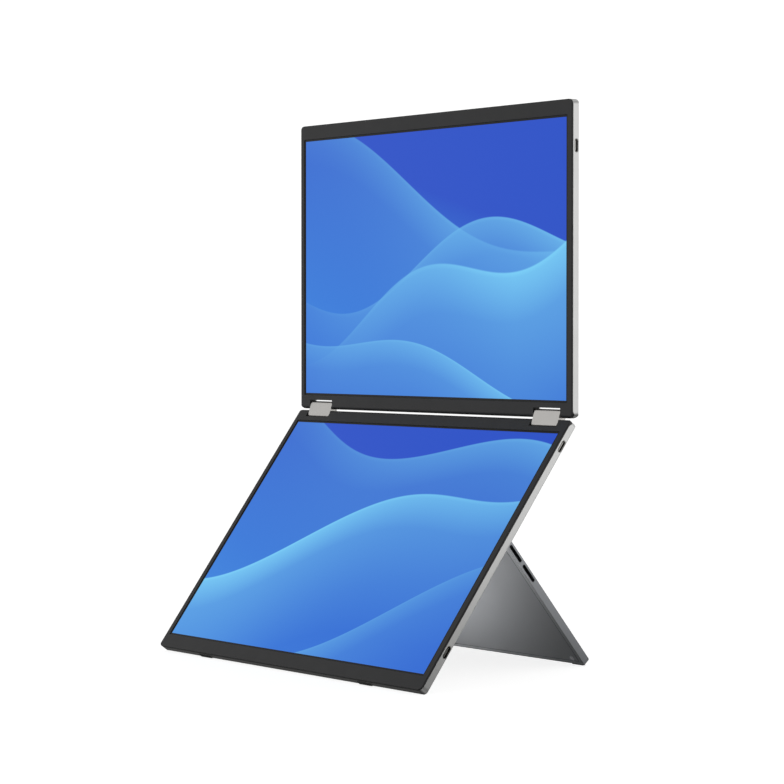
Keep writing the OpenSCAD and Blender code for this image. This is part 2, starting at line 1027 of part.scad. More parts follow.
// Strip of board with one side-pressed switch behind each button
module button_board() {
    color("darkgreen")
        in_lower() {
            difference() {
                block(
                    [button_board_x - 1, board_y, button_board_low],
                    [button_board_x + 8, board_y + board_t, button_board_high]
                );
                for (p = button_pillars)
                    post(p[0], p[1], board_y - 1, board_y + board_t + 1, 0.9);
            }
            for (k = [0:2]) {
                z = first_button_z - k * button_pitch;
                block(
                    [button_board_x - switch_depth + 0.8, port_y - 1, z - 2.2],
                    [button_board_x, board_y + 0.05, z + 2.2]
                );
                block(
                    [button_board_x - switch_depth, port_y - 0.5, z - 1],
                    [button_board_x, board_y, z + 1]
                );
            }
        }
}

module lower_hinge_brackets() {
    color("dimgray")
        in_lower()
            both_sides()
                hinge_bracket();
}

module lower_hinge_shafts() {
    color("gray")
        in_link()
            both_sides()
                hinge_shaft(-rest_turn, 0);
}

module lower_bracket_screws() {
    color("gray")
        in_lower()
            bracket_screw_set();
}

// Cuts away what would lie below the floor, so each foot has a flat sole
module with_soles() {
    difference() {
        children();
        block([-side_x, -side_x, -10], [side_x, side_x, 0]);
    }
}

module edge_feet() {
    color("#2a2a2a")
        with_soles()
            in_lower()
                edge_foot_strips(0);
}

// Leaf inside the cover, a neck through its window and the hinge knuckle
module stand_hinge_mounts() {
    color("dimgray")
        in_lower()
            both_sides()
                difference() {
                    union() {
                        block(
                            [
                                knuckle_x - mount_leaf_w / 2 - 6,
                                floor_y - leaf_t,
                                stand_drop - mount_leaf_reach
                            ],
                            [
                                knuckle_x + mount_leaf_w / 2 + 6,
                                floor_y,
                                stand_drop + mount_leaf_reach
                            ]
                        );
                        block(
                            [knuckle_x - knuckle_w / 2, floor_y - 0.1, stand_drop - neck_t / 2],
                            [knuckle_x + knuckle_w / 2, stand_axis_y, stand_drop + neck_t / 2]
                        );
                        translate([knuckle_x, stand_axis_y, stand_drop])
                            bar(-knuckle_w / 2, knuckle_w / 2, knuckle_r);
                    }
                    translate([knuckle_x, stand_axis_y, stand_drop])
                        bar(-knuckle_w, knuckle_w, pin_r + run_fit);
                    for (p = mount_screws) {
                        post(p[0], p[1], floor_y - leaf_t - 1, floor_y + 1, screw_r + run_fit);
                        post(
                            p[0], p[1], floor_y - leaf_t - 1,
                            floor_y - leaf_t + screw_head_h, screw_head_r + slide_fit
                        );
                    }
                }
}

module stand_mount_screws() {
    color("gray")
        in_lower()
            both_sides()
                for (p = mount_screws)
                    small_screw(p[0], p[1], floor_y - leaf_t, leaf_t + 0.6);
}

// ---------------------------------------------------------------- hinge links

module right_hinge_cover() {
    color("#b4b4b4")
        in_link()
            hinge_cover();
}

module left_hinge_cover() {
    color("#b4b4b4")
        in_link()
            mirror([1, 0, 0])
                hinge_cover();
}

module hinge_bearing_plates() {
    color("dimgray")
        in_link()
            both_sides()
                for (x = [0.3, second_plate_x])
                    bearing_plate(hinge_in_x + x);
}

module friction_clips() {
    color("slategray")
        in_link()
            both_sides()
                for (k = [0:clip_count - 1])
                    friction_clip(hinge_in_x + clip_x + k * clip_pitch);
}

module lower_idler_gears() {
    color("goldenrod")
        in_link()
            both_sides()
                translate([0, 0, axis_spacing / 3])
                    idler_gear(rest_turn, half_tooth);
}

module upper_idler_gears() {
    color("goldenrod")
        in_link()
            both_sides()
                translate([0, 0, 2 * axis_spacing / 3])
                    idler_gear(-rest_turn, 0);
}

// ---------------------------------------------------------------- upper display

module upper_back_cover() {
    color("silver")
        in_upper()
            difference() {
                union() {
                    back_cover_shell();
                    board_pillars(concat(driver_pillars(upper_driver_z), port_pillars(port_far_z)));
                }
                port_hole(port_far_z);
                port_bay(port_far_z, shell_w, shell_h);
            }
}

module upper_bezel() {
    color("#454547")
        in_upper()
            bezel();
}

module upper_glass() {
    color("#3566d6")
        in_upper()
            glass();
}

module upper_backlight() {
    color("gainsboro")
        in_upper()
            backlight();
}

module upper_driver_board() {
    color("darkgreen")
        in_upper()
            driver_board(upper_driver_z);
}

module upper_port_board() {
    color("darkgreen")
        in_upper()
            port_board(port_far_z);
}

module upper_usb_port() {
    color("lightgray")
        in_upper()
            usb_port(port_far_z);
}

module upper_hinge_brackets() {
    color("dimgray")
        in_upper()
            both_sides()
                hinge_bracket();
}

module upper_hinge_shafts() {
    color("gray")
        in_link()
            both_sides()
                translate([0, 0, axis_spacing])
                    hinge_shaft(rest_turn, half_tooth);
}

module upper_bracket_screws() {
    color("gray")
        in_upper()
            bracket_screw_set();
}

// ---------------------------------------------------------------- buttons

// Key with a flange that keeps it behind the wall
module side_button(k) {
    color("#9a9a9a")
        in_lower()
            translate([0, port_y, first_button_z - k * button_pitch]) {
                along_x(-side_x, button_depth - side_x)
                    stadium(button_len, button_w);
                along_x(cover_wall - side_x + 0.05, button_depth - side_x)
                    stadium(button_len + 2 * button_flange, button_w + 2 * button_flange_side);
            }
}

module power_button() {
    side_button(0);
}

module brightness_up_button() {
    side_button(1);
}

module brightness_down_button() {
    side_button(2);
}

// ---------------------------------------------------------------- stand

module stand_section() {
    union() {
        circle(stand_t / 2);
        soft_rect(
            [-stand_t / 2, 0], [stand_t / 2, stand_len],
            0.01, stand_edge_r
        );
    }
}

module stand_outline() {
    soft_rect(
        [-stand_w / 2, -stand_t / 2], [stand_w / 2, stand_len],
        1, stand_corner_r
    );
}

module stand_foot_bars(grow) {
    half = stand_foot_len / 2 + grow;
    both_sides()
        translate([stand_foot_x, stand_foot_y, stand_foot_z])
            bar(-half, half, stand_foot_r + grow);
}

// Rounded pads let into the outer face, up to the free edge
module stand_foot_pads(grow) {
    half = stand_foot_len / 2 + grow;
    low = stand_len - stand_pad_len - grow;
    high = stand_len + grow;
    base_y = stand_t / 2 - stand_pad_depth - grow;
    top_y = stand_t / 2 + stand_pad_proud + grow;
    both_sides()
        translate([stand_foot_x, 0, 0])
            intersection() {
                along_x(-half, half)
                    soft_rect(
                        [base_y, low], [top_y, high],
                        stand_pad_edge_r + grow, stand_pad_edge_r + grow
                    );
                along_y(base_y, top_y)
                    soft_rect(
                        [-half, low], [half, high],
                        stand_pad_corner_r + grow, stand_pad_corner_r + grow
                    );
            }
}

// Outer plate with rims, hinge notches and sound slots in its sides
module stand_shell() {
    inner_y = -stand_t / 2;
    lid_x = stand_w / 2 - stand_rim;
    lid_z = stand_len - stand_rim;
    color("#77797b")
        in_stand()
            difference() {
                intersection() {
                    along_x(-stand_w / 2, stand_w / 2)
                        stand_section();
                    along_y(-stand_t / 2, stand_t / 2)
                        stand_outline();
                }
                block([-lid_x, inner_y - 1, stand_top_rim], [lid_x, inner_y + stand_skin, lid_z]);
                block(
                    [stand_ledge - lid_x, inner_y, stand_top_rim + stand_ledge],
                    [lid_x - stand_ledge, stand_t / 2 - stand_skin, lid_z - stand_ledge]
                );
                both_sides() {
                    block(
                        [knuckle_x - knuckle_w / 2 - knuckle_gap, -stand_t, -stand_t],
                        [knuckle_x + knuckle_w / 2 + knuckle_gap, stand_t, notch_z]
                    );
                    for (s = [-1, 1])
                        translate([knuckle_x + s * (knuckle_w / 2 + knuckle_gap + ear_w / 2), 0, 0]) {
                            bar(-ear_w / 2 - 0.1, ear_w / 2 + 0.1, ear_r + 0.05);
                            block(
                                [-ear_w / 2 - 0.1, -ear_r, 0],
                                [ear_w / 2 + 0.1, stand_t / 2 - stand_skin, stand_top_rim + 2]
                            );
                        }
                    for (p = block_screws)
                        post(
                            p[0], p[1], stand_t / 2 - stand_skin - 1,
                            stand_t / 2 - stand_skin + 0.7, screw_r + run_fit
                        );
                }
                for (k = [0, 1])
                    translate([0, 0, slot_first + sound_slot_len / 2 + k * sound_slot_pitch])
                        along_x(-stand_w, stand_w)
                            stadium(sound_slot_len, sound_slot_w);
                stand_foot_bars(seat_fit);
                stand_foot_pads(seat_fit);
            }
}

module stand_inner_cover() {
    inner_y = -stand_t / 2;
    lid_x = stand_w / 2 - stand_rim - 0.1;
    color("#6f7173")
        in_stand()
            difference() {
                block(
                    [-lid_x, inner_y, stand_top_rim + 0.1],
                    [lid_x, inner_y + stand_skin, stand_len - stand_rim - 0.1]
                );
                both_sides()
                    post(
                        stand_w / 2 - bumper_side, stand_len - bumper_inset,
                        inner_y - 1, inner_y + 0.6, bumper_r + seat_fit
                    );
            }
}

block_screws = [
    for (s = [-1, 1])
        [knuckle_x + s * (knuckle_w / 2 + knuckle_gap + ear_w / 2), leaf_reach - 4]
];

// U-shaped block: an ear each side of the notch and a leaf below it
module stand_hinge_blocks() {
    skin_y = stand_t / 2 - stand_skin;
    ear_x = knuckle_w / 2 + knuckle_gap;
    color("dimgray")
        in_stand()
            both_sides()
                difference() {
                    translate([knuckle_x, 0, 0]) {
                        for (s = [-1, 1]) {
                            translate([s * (ear_x + ear_w / 2), 0, 0]) {
                                bar(-ear_w / 2, ear_w / 2, ear_r);
                                block(
                                    [-ear_w / 2, skin_y - leaf_t, 0],
                                    [ear_w / 2, skin_y, leaf_reach]
                                );
                            }
                        }
                        block(
                            [-ear_x - ear_w, skin_y - leaf_t, stand_top_rim + 3],
                            [ear_x + ear_w, skin_y, leaf_reach]
                        );
                    }
                    translate([knuckle_x, 0, 0])
                        bar(-ear_x - ear_w - 1, ear_x + ear_w + 1, pin_r + seat_fit);
                    for (p = block_screws) {
                        post(p[0], p[1], skin_y - leaf_t - 1, skin_y + 1, screw_r + run_fit);
                        post(
                            p[0], p[1], skin_y - leaf_t - 1,
                            skin_y - leaf_t + screw_head_h, screw_head_r + slide_fit
                        );
                    }
                }
}

module stand_hinge_pins() {
    half = knuckle_w / 2 + knuckle_gap + ear_w - 0.3;
    color("gray")
        in_stand()
            both_sides()
                translate([knuckle_x, 0, 0])
                    bar(-half, half, pin_r);
}

module stand_block_screws() {
    color("gray")
        in_stand()
            both_sides()
                for (p = block_screws)
                    small_screw(p[0], p[1], stand_t / 2 - stand_skin - leaf_t, leaf_t + 0.6);
}

module stand_feet() {
    color("#2a2a2a")
        with_soles()
            in_stand() {
                stand_foot_bars(0);
                stand_foot_pads(0);
            }
}

module stand_bumpers() {
    color("#2a2a2a")
        in_stand()
            both_sides()
                post(
                    stand_w / 2 - bumper_side, stand_len - bumper_inset,
                    -stand_t / 2 - bumper_proud, -stand_t / 2 + 0.6, bumper_r
                );
}

// Slim sound boxes behind the slots, with an oval diaphragm ring
module speakers() {
    low = slot_first - speaker_margin;
    high = slot_first + sound_slot_pitch + sound_slot_len + speaker_margin;
    x1 = stand_w / 2 - stand_rim - stand_ledge;
    skin_y = stand_t / 2 - stand_skin;
    color("#1e1e1e")
        in_stand()
            both_sides()
                difference() {
                    along_y(0.4 - skin_y, skin_y)
                        soft_rect([x1 - speaker_w, low], [x1, high], 2, 2);
                    along_y(-skin_y, 0.8 - skin_y)
                        translate([x1 - speaker_w / 2, (low + high) / 2])
                            difference() {
                                stadium(high - low - 6, speaker_w - 6);
                                stadium(high - low - 9, speaker_w - 9);
                            }
                    for (k = [0, 1])
                        translate([0, 0, slot_first + sound_slot_len / 2 + k * sound_slot_pitch])
                            along_x(x1 - 1.5, x1 + 1)
                                stadium(sound_slot_len - 1, sound_slot_w - 1);
                }
}

lower_back_cover();
lower_bezel();
lower_glass();
lower_backlight();
main_board();
lower_driver_board();
lower_flat_cable();
lower_port_boards();
lower_usb_ports();
mini_hdmi_port();
button_board();
lower_hinge_brackets();
lower_hinge_shafts();
lower_bracket_screws();
edge_feet();
stand_hinge_mounts();
stand_mount_screws();
left_hinge_cover();
right_hinge_cover();
hinge_bearing_plates();
friction_clips();
lower_idler_gears();
upper_idler_gears();
upper_back_cover();
upper_bezel();
upper_glass();
upper_backlight();
upper_driver_board();
upper_port_board();
upper_usb_port();
upper_hinge_brackets();
upper_hinge_shafts();
upper_bracket_screws();
power_button();
brightness_up_button();
brightness_down_button();
stand_shell();
stand_inner_cover();
stand_hinge_blocks();
stand_hinge_pins();
stand_block_screws();
stand_feet();
stand_bumpers();
speakers();
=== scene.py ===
"""Looks of a folding dual-screen extender: finishes, small extra parts and a studio.

The packed model is the fixed frame. Every CAD piece stays where it is and gets the
finish of the real one. A few fine pieces are added: gasket beads round the glass, a
dark bead in the groove round the stand's plate, whose near-black paints the groove's
shade, contact strips in the connectors and dust mesh behind the sound slots.
All lengths are in metres, and the floor is at Z = 0.
"""
import json
import math

import bpy
import numpy as np
from bpy.props import FloatProperty, FloatVectorProperty, PointerProperty
from bpy.types import Operator, Panel, PropertyGroup
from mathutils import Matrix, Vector


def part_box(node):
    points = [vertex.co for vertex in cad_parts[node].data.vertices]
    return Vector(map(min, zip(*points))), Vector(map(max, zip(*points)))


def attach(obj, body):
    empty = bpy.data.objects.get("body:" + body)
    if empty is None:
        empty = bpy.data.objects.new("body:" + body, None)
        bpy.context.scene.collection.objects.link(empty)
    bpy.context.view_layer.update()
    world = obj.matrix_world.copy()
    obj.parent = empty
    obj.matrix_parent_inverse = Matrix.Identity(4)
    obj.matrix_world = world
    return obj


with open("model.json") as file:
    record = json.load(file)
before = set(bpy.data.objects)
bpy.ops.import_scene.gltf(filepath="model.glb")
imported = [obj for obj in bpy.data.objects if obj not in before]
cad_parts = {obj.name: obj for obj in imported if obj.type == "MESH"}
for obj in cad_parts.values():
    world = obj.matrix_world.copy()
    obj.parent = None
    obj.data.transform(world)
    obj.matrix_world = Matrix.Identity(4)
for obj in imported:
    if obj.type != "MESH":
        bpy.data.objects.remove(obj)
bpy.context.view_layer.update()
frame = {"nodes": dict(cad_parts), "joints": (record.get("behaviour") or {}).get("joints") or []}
NODES = frame["nodes"]
JOINTS = {joint["name"]: joint for joint in frame["joints"]}

bl_info = {
    "name": "Folding dual-screen extender",
    "version": (1, 0, 0),
    "blender": (4, 5, 0),
    "location": "View3D > Sidebar > Extender",
    "description": "Finishes, fine parts and studio for a folding pair of displays",
    "category": "Add Mesh",
}

MM = 0.001
# A wave texture repeats every pi / 10 of its scaled coordinate
WAVE_TURN = math.pi / 10
# The connectors' mid-plane lies this far behind the displays', and their middles
# lie this far from the displays' hinge axes
PORT_DEPTH = 0.75 * MM
FAR_PORT, NEAR_PORT, HDMI_PORT = 178.5 * MM, 17.0 * MM, 29.0 * MM
# A contact strip's stations along X with its share of its full size at each, half
# its width and height, and half the thickness of the tongue that it lies on
STRIP_STATIONS = np.array([151.4, 151.55, 155.35, 155.5]) * MM
STRIP_SHARES = np.array([0.4, 1.0, 1.0, 0.4])
STRIP_HALF_WIDTH, STRIP_HALF_HEIGHT, TONGUE_HALF = 0.13 * MM, 0.025 * MM, 0.35 * MM
# The stand's inner plate: half its width, where it starts and ends along the stand,
# its corner radius, and the radius and depth of the dark bead round it, whose
# near-black paints the shade in the groove
PLATE_HALF, PLATE_START, PLATE_END, PLATE_CORNER = 96.05 * MM, 5.05 * MM, 145.05 * MM, 0.4 * MM
GROOVE_SHADE_RADIUS, GROOVE_SHADE_DEPTH = 0.22 * MM, -2.58 * MM
# The stand's sound slots: length, width, distance of the mesh from the middle plane,
# and places along the stand
SLOT_LENGTH, SLOT_WIDTH, SLOT_X = 15.2 * MM, 2.6 * MM, 98.5 * MM
SLOT_PLACES = (46.3 * MM, 64.3 * MM)


def srgb(code):
    """Linear RGBA of an sRGB hex colour: each channel is undone by the sRGB curve,
    c / 12.92 below 0.04045 and ((c + 0.055) / 1.055) ^ 2.4 above it."""
    channels = [int(code[i:i + 2], 16) / 255 for i in (1, 3, 5)]
    linear = [c / 12.92 if c <= 0.04045 else ((c + 0.055) / 1.055) ** 2.4 for c in channels]
    return (*linear, 1.0)


# ------------------------------------------------------------------ settings

class ExtenderFinishes(PropertyGroup):
    """Colours of the finishes."""
    cover: FloatVectorProperty(
        name="Back covers", description="Anodised aluminium of the back covers",
        subtype="COLOR", size=4, default=srgb("#c5c5c4"))
    frame: FloatVectorProperty(
        name="Front frames", description="Moulded plastic round the glass",
        subtype="COLOR", size=4, default=srgb("#1f1f20"))
    hinge_cover: FloatVectorProperty(
        name="Hinge covers", description="Satin plated covers of the fold hinge",
        subtype="COLOR", size=4, default=srgb("#b4b2af"))
    stand: FloatVectorProperty(
        name="Stand", description="Anodised aluminium of the kickstand",
        subtype="COLOR", size=4, default=srgb("#97999c"))
    stand_plate: FloatVectorProperty(
        name="Stand plate", description="Plate set into the inner side of the stand",
        subtype="COLOR", size=4, default=srgb("#8f9194"))
    button: FloatVectorProperty(
        name="Side buttons", description="Anodised keys on the left side",
        subtype="COLOR", size=4, default=srgb("#a9abad"))
    rubber: FloatVectorProperty(
        name="Rubber feet", description="Feet and bumpers",
        subtype="COLOR", size=4, default=srgb("#232323"))
    steel: FloatVectorProperty(
        name="Hinge steel", description="Shafts, brackets, plates and clips",
        subtype="COLOR", size=4, default=srgb("#a7a6a2"))
    connector: FloatVectorProperty(
        name="Connector shells", description="Nickel-plated connector shells",
        subtype="COLOR", size=4, default=srgb("#908f8c"))
    contact: FloatVectorProperty(
        name="Contacts", description="Gold-plated contact strips",
        subtype="COLOR", size=4, default=srgb("#d8b25a"))
    board: FloatVectorProperty(
        name="Circuit boards", description="Solder mask of the circuit boards",
        subtype="COLOR", size=4, default=srgb("#12402a"))


class ExtenderPicture(PropertyGroup):
    """The picture on both displays: soft hills of light."""
    sky_low: FloatVectorProperty(
        name="Low sky", description="Colour behind the hills, lower left",
        subtype="COLOR", size=4, default=srgb("#3fa8ee"))
    sky_high: FloatVectorProperty(
        name="High sky", description="Colour behind the hills, upper right",
        subtype="COLOR", size=4, default=srgb("#1a4bc4"))
    hill: FloatVectorProperty(
        name="Hills", description="Body colour of the hills",
        subtype="COLOR", size=4, default=srgb("#2060cf"))
    crest: FloatVectorProperty(
        name="Crests", description="Colour of the lit crests",
        subtype="COLOR", size=4, default=srgb("#74cbf4"))
    brightness: FloatProperty(
        name="Brightness", description="Brightness of the lit picture",
        default=1.0, min=0.0, max=4.0)


class ExtenderDetails(PropertyGroup):
    """Sizes of the fine pieces."""
    black_margin: FloatProperty(
        name="Black margin", description="Printed border between picture and frame",
        unit="LENGTH", default=1.6 * MM, precision=5)
    glass_lap: FloatProperty(
        name="Glass lap", description="Glass hidden under the frame",
        unit="LENGTH", default=1.4 * MM, precision=5)
    gasket_radius: FloatProperty(
        name="Gasket radius", description="Radius of the bead round the glass",
        unit="LENGTH", default=0.3 * MM, precision=5)
    contact_pitch: FloatProperty(
        name="Contact pitch", description="Spacing of the contact strips",
        unit="LENGTH", default=0.5 * MM, precision=5)
    mesh_pitch: FloatProperty(
        name="Dust mesh pitch", description="Spacing of the wires in the dust mesh",
        unit="LENGTH", default=0.5 * MM, precision=5)


class ExtenderStudio(PropertyGroup):
    """Floor, light and lens."""
    floor: FloatVectorProperty(
        name="Floor", description="Colour of the floor",
        subtype="COLOR", size=4, default=srgb("#b8b8b8"))
    floor_glow: FloatProperty(
        name="Floor glow", description="Light that comes through the floor sheet from below",
        default=0.8, min=0.0)
    sky: FloatProperty(
        name="Sky", description="Brightness of the light just above the horizon",
        default=1.0, min=0.0)
    zenith: FloatProperty(
        name="Zenith", description="Light from overhead, as a share of the sky's",
        default=0.3, min=0.0, max=1.0)
    ground: FloatProperty(
        name="Ground", description="Brightness of the light from below the horizon",
        default=0.04, min=0.0)
    side_box: FloatProperty(
        name="Side softbox", description="Brightness of the softbox behind the right side",
        default=0.46, min=0.0)
    front_box: FloatProperty(
        name="Front softbox", description="Brightness of the softbox at the front left",
        default=0.25, min=0.0)
    fill_card: FloatProperty(
        name="Fill card", description="Brightness of the small card below the stand",
        default=1.1, min=0.0)
    top_box: FloatProperty(
        name="Top softbox", description="Brightness of the softbox above the back",
        default=0.5, min=0.0)
    floor_box: FloatProperty(
        name="Floor softbox", description="Brightness of the softbox below the back",
        default=0.35, min=0.0)
    flag_height: FloatProperty(
        name="Flag height", description="Top of the black cloth at the right side",
        unit="LENGTH", default=0.01)
    focal_length: FloatProperty(
        name="Focal length", description="Focal length of the camera",
        unit="CAMERA", default=125.84, min=20.0)


# ------------------------------------------------------------------ materials

def add_node(tree, kind, values=None, links=None, **settings):
    """Adds a node, then sets its properties and its sockets' values and links."""
    node = tree.nodes.new(kind)
    for name, value in settings.items():
        setattr(node, name, value)
    for socket, value in (values or {}).items():
        node.inputs[socket].default_value = value
    for socket, source in (links or {}).items():
        tree.links.new(source, node.inputs[socket])
    return node


def new_material(name, values):
    """An empty material with one Principled surface, and its object coordinates."""
    material = bpy.data.materials.new(name)
    material.use_nodes = True
    tree = material.node_tree
    tree.nodes.clear()
    surface = add_node(tree, "ShaderNodeBsdfPrincipled", values)
    add_node(tree, "ShaderNodeOutputMaterial", links={"Surface": surface.outputs["BSDF"]})
    place = add_node(tree, "ShaderNodeTexCoord").outputs["Object"]
    return material, tree, surface, place


def shade_range(tree, surface, place, colour, size, spread):
    """Base colour that drifts by a share of spread over patches of the given size."""
    patches = add_node(tree, "ShaderNodeTexNoise", {"Scale": 1 / size, "Detail": 2.0},
                       {"Vector": place})
    darker = [c * (1 - spread) for c in colour[:3]] + [1.0]
    lighter = [min(1.0, c * (1 + spread)) for c in colour[:3]] + [1.0]
    mix = add_node(tree, "ShaderNodeMix", {6: darker, 7: lighter},
                   {"Factor": patches.outputs["Fac"]}, data_type="RGBA")
    tree.links.new(mix.outputs[2], surface.inputs["Base Color"])


def gloss_range(tree, surface, place, low, high, size):
    """Roughness that wanders between two values over patches of the given size."""
    patches = add_node(tree, "ShaderNodeTexNoise", {"Scale": 1 / size, "Detail": 3.0},
                       {"Vector": place})
    span = add_node(tree, "ShaderNodeMapRange", {"To Min": low, "To Max": high},
                    {"Value": patches.outputs["Fac"]})
    tree.links.new(span.outputs["Result"], surface.inputs["Roughness"])


def relief(tree, surface, height, depth, strength=1.0):
    """Bump of the given depth, in metres, from a height between 0 and 1."""
    bump = add_node(tree, "ShaderNodeBump", {"Strength": strength, "Distance": depth},
                    {"Height": height})
    tree.links.new(bump.outputs["Normal"], surface.inputs["Normal"])


def blasted_anodised_aluminium(name, colour, roughness):
    """Die-formed aluminium, bead-blasted with 0.1 mm glass and then anodised.
    To the eye it is a soft, even sheen with a very fine sparkle and no direction."""
    material, tree, surface, place = new_material(name, {"Metallic": 1.0})
    shade_range(tree, surface, place, colour, 60 * MM, 0.03)
    gloss_range(tree, surface, place, roughness - 0.03, roughness + 0.03, 18 * MM)
    # The blasted pits are 0.1 mm wide, drawn at 0.35 mm so that they show
    pits = add_node(tree, "ShaderNodeTexNoise", {"Scale": 1 / (0.35 * MM), "Detail": 2.0},
                    {"Vector": place})
    relief(tree, surface, pits.outputs["Fac"], 0.006 * MM, 0.6)
    return material


def textured_moulded_abs(name, colour):
    """Moulded ABS blend from a spark-eroded tool. To the eye it is a dark, dry
    grain that spreads every highlight into a grey haze."""
    material, tree, surface, place = new_material(
        name, {"IOR": 1.53, "Specular IOR Level": 0.3})
    shade_range(tree, surface, place, colour, 40 * MM, 0.06)
    gloss_range(tree, surface, place, 0.46, 0.54, 12 * MM)
    # The eroded grain is 0.1 mm, drawn at 0.4 mm so that it shows
    grain = add_node(tree, "ShaderNodeTexNoise", {"Scale": 1 / (0.4 * MM), "Detail": 3.0},
                     {"Vector": place})
    relief(tree, surface, grain.outputs["Fac"], 0.012 * MM, 0.7)
    return material


def satin_plated_zinc(name, colour):
    """Die-cast zinc, polished, nickel-plated and given a satin finish. To the eye
    it is a bright, slightly warm metal with blurred reflections."""
    material, tree, surface, place = new_material(name, {"Metallic": 1.0})
    shade_range(tree, surface, place, colour, 15 * MM, 0.02)
    gloss_range(tree, surface, place, 0.30, 0.38, 6 * MM)
    # Satin scratches run along the hinge, 0.05 mm apart, drawn at 0.3 mm across
    stretch = add_node(tree, "ShaderNodeMapping",
                       {"Scale": (1 / (8 * MM), 1 / (0.3 * MM), 1 / (0.3 * MM))},
                       {"Vector": place})
    scratches = add_node(tree, "ShaderNodeTexNoise", {"Scale": 1.0, "Detail": 2.0},
                         {"Vector": stretch.outputs["Vector"]})
    relief(tree, surface, scratches.outputs["Fac"], 0.004 * MM, 0.5)
    return material


def turned_steel(name, colour, roughness, groove):
    """Turned or pressed bare steel with a film of oil. To the eye it is a grey
    metal with fine lines round or along it."""
    material, tree, surface, place = new_material(name, {"Metallic": 1.0})
    shade_range(tree, surface, place, colour, 5 * MM, 0.08)
    gloss_range(tree, surface, place, roughness - 0.05, roughness + 0.07, 3 * MM)
    lines = add_node(tree, "ShaderNodeTexWave", {"Scale": WAVE_TURN / groove, "Distortion": 1.5},
                     {"Vector": place}, bands_direction="X")
    relief(tree, surface, lines.outputs["Fac"], 0.004 * MM, 0.4)
    return material


def nickel_plated_steel(name, colour):
    """Drawn steel shell with a bright nickel plate. To the eye it is a warm
    silver with clear, slightly stretched reflections."""
    material, tree, surface, place = new_material(name, {"Metallic": 1.0})
    shade_range(tree, surface, place, colour, 4 * MM, 0.04)
    gloss_range(tree, surface, place, 0.22, 0.30, 2 * MM)
    draw_marks = add_node(tree, "ShaderNodeTexNoise", {"Scale": 1 / (0.6 * MM), "Detail": 2.0},
                          {"Vector": place})
    relief(tree, surface, draw_marks.outputs["Fac"], 0.004 * MM, 0.4)
    return material


def gold_plated_bronze(name, colour):
    """Phosphor bronze strip with a thin gold flash. To the eye it is a bright
    yellow metal with a slight blur."""
    material, tree, surface, place = new_material(name, {"Metallic": 1.0})
    shade_range(tree, surface, place, colour, 1 * MM, 0.05)
    gloss_range(tree, surface, place, 0.18, 0.28, 0.5 * MM)
    return material


def sintered_steel(name, colour):
    """Pressed and sintered gear steel. To the eye it is a dark matt metal with
    fine open pores."""
    material, tree, surface, place = new_material(name, {"Metallic": 1.0})
    shade_range(tree, surface, place, colour, 2 * MM, 0.1)
    gloss_range(tree, surface, place, 0.45, 0.60, 1 * MM)
    pores = add_node(tree, "ShaderNodeTexVoronoi", {"Scale": 1 / (0.15 * MM)}, {"Vector": place})
    relief(tree, surface, pores.outputs["Distance"], 0.006 * MM, 0.5)
    return material


def moulded_rubber(name, colour):
    """Moulded nitrile rubber with a blasted skin. To the eye it is a dusty black
    that hardly shines."""
    material, tree, surface, place = new_material(name, {"IOR": 1.52})
    shade_range(tree, surface, place, colour, 6 * MM, 0.12)
    gloss_range(tree, surface, place, 0.72, 0.86, 3 * MM)
    skin = add_node(tree, "ShaderNodeTexNoise", {"Scale": 1 / (0.3 * MM), "Detail": 3.0},
                    {"Vector": place})
    relief(tree, surface, skin.outputs["Fac"], 0.02 * MM, 0.7)
    return material


def solder_masked_board(name, colour):
    """Glass epoxy board under solder mask, with copper tracks below it. To the
    eye it is a glossy green with lighter lines where the copper runs."""
    material, tree, surface, place = new_material(name, {"IOR": 1.55, "Roughness": 0.28})
    tracks = add_node(tree, "ShaderNodeTexBrick",
                      {
                          "Color1": colour,
                          "Color2": [c * 0.8 for c in colour[:3]] + [1.0],
                          "Mortar": [min(1.0, c * 2.2) for c in colour[:3]] + [1.0],
                          "Scale": 1 / (4 * MM), "Mortar Size": 0.04,
                          "Brick Width": 0.9, "Row Height": 0.22,
                      })
    # The tracks lie in the plane of the board, which is X and the height
    turn = add_node(tree, "ShaderNodeMapping", {"Rotation": (math.pi / 2, 0.0, 0.0)},
                    {"Vector": place})
    tree.links.new(turn.outputs["Vector"], tracks.inputs["Vector"])
    tree.links.new(tracks.outputs["Color"], surface.inputs["Base Color"])
    relief(tree, surface, tracks.outputs["Fac"], 0.02 * MM, 0.4)
    return material


def polyimide_ribbon(name):
    """Copper conductors between polyimide films. To the eye it is a glossy amber
    band with fine darker lines along it."""
    material, tree, surface, place = new_material(name, {"IOR": 1.6, "Roughness": 0.25})
    lines = add_node(tree, "ShaderNodeTexWave", {"Scale": WAVE_TURN / (0.5 * MM)},
                     {"Vector": place}, bands_direction="X")
    mix = add_node(tree, "ShaderNodeMix", {6: srgb("#8a4a12"), 7: srgb("#c67a2a")},
                   {"Factor": lines.outputs["Fac"]}, data_type="RGBA")
    tree.links.new(mix.outputs[2], surface.inputs["Base Color"])
    relief(tree, surface, lines.outputs["Fac"], 0.02 * MM, 0.4)
    return material


def white_light_guide(name):
    """Acrylic light guide over a white reflector in a pressed tray. To the eye it
    is a milky white with a regular field of printed dots."""
    material, tree, surface, place = new_material(name, {"IOR": 1.49, "Roughness": 0.3})
    dots = add_node(tree, "ShaderNodeTexVoronoi", {"Scale": 1 / (1.2 * MM), "Randomness": 0.0},
                    {"Vector": place})
    ramp = add_node(tree, "ShaderNodeMapRange", {"From Min": 0.3, "From Max": 0.4},
                    {"Value": dots.outputs["Distance"]})
    mix = add_node(tree, "ShaderNodeMix", {6: srgb("#f2f4f5"), 7: srgb("#cdd3d7")},
                   {"Factor": ramp.outputs["Result"]}, data_type="RGBA")
    tree.links.new(mix.outputs[2], surface.inputs["Base Color"])
    return material


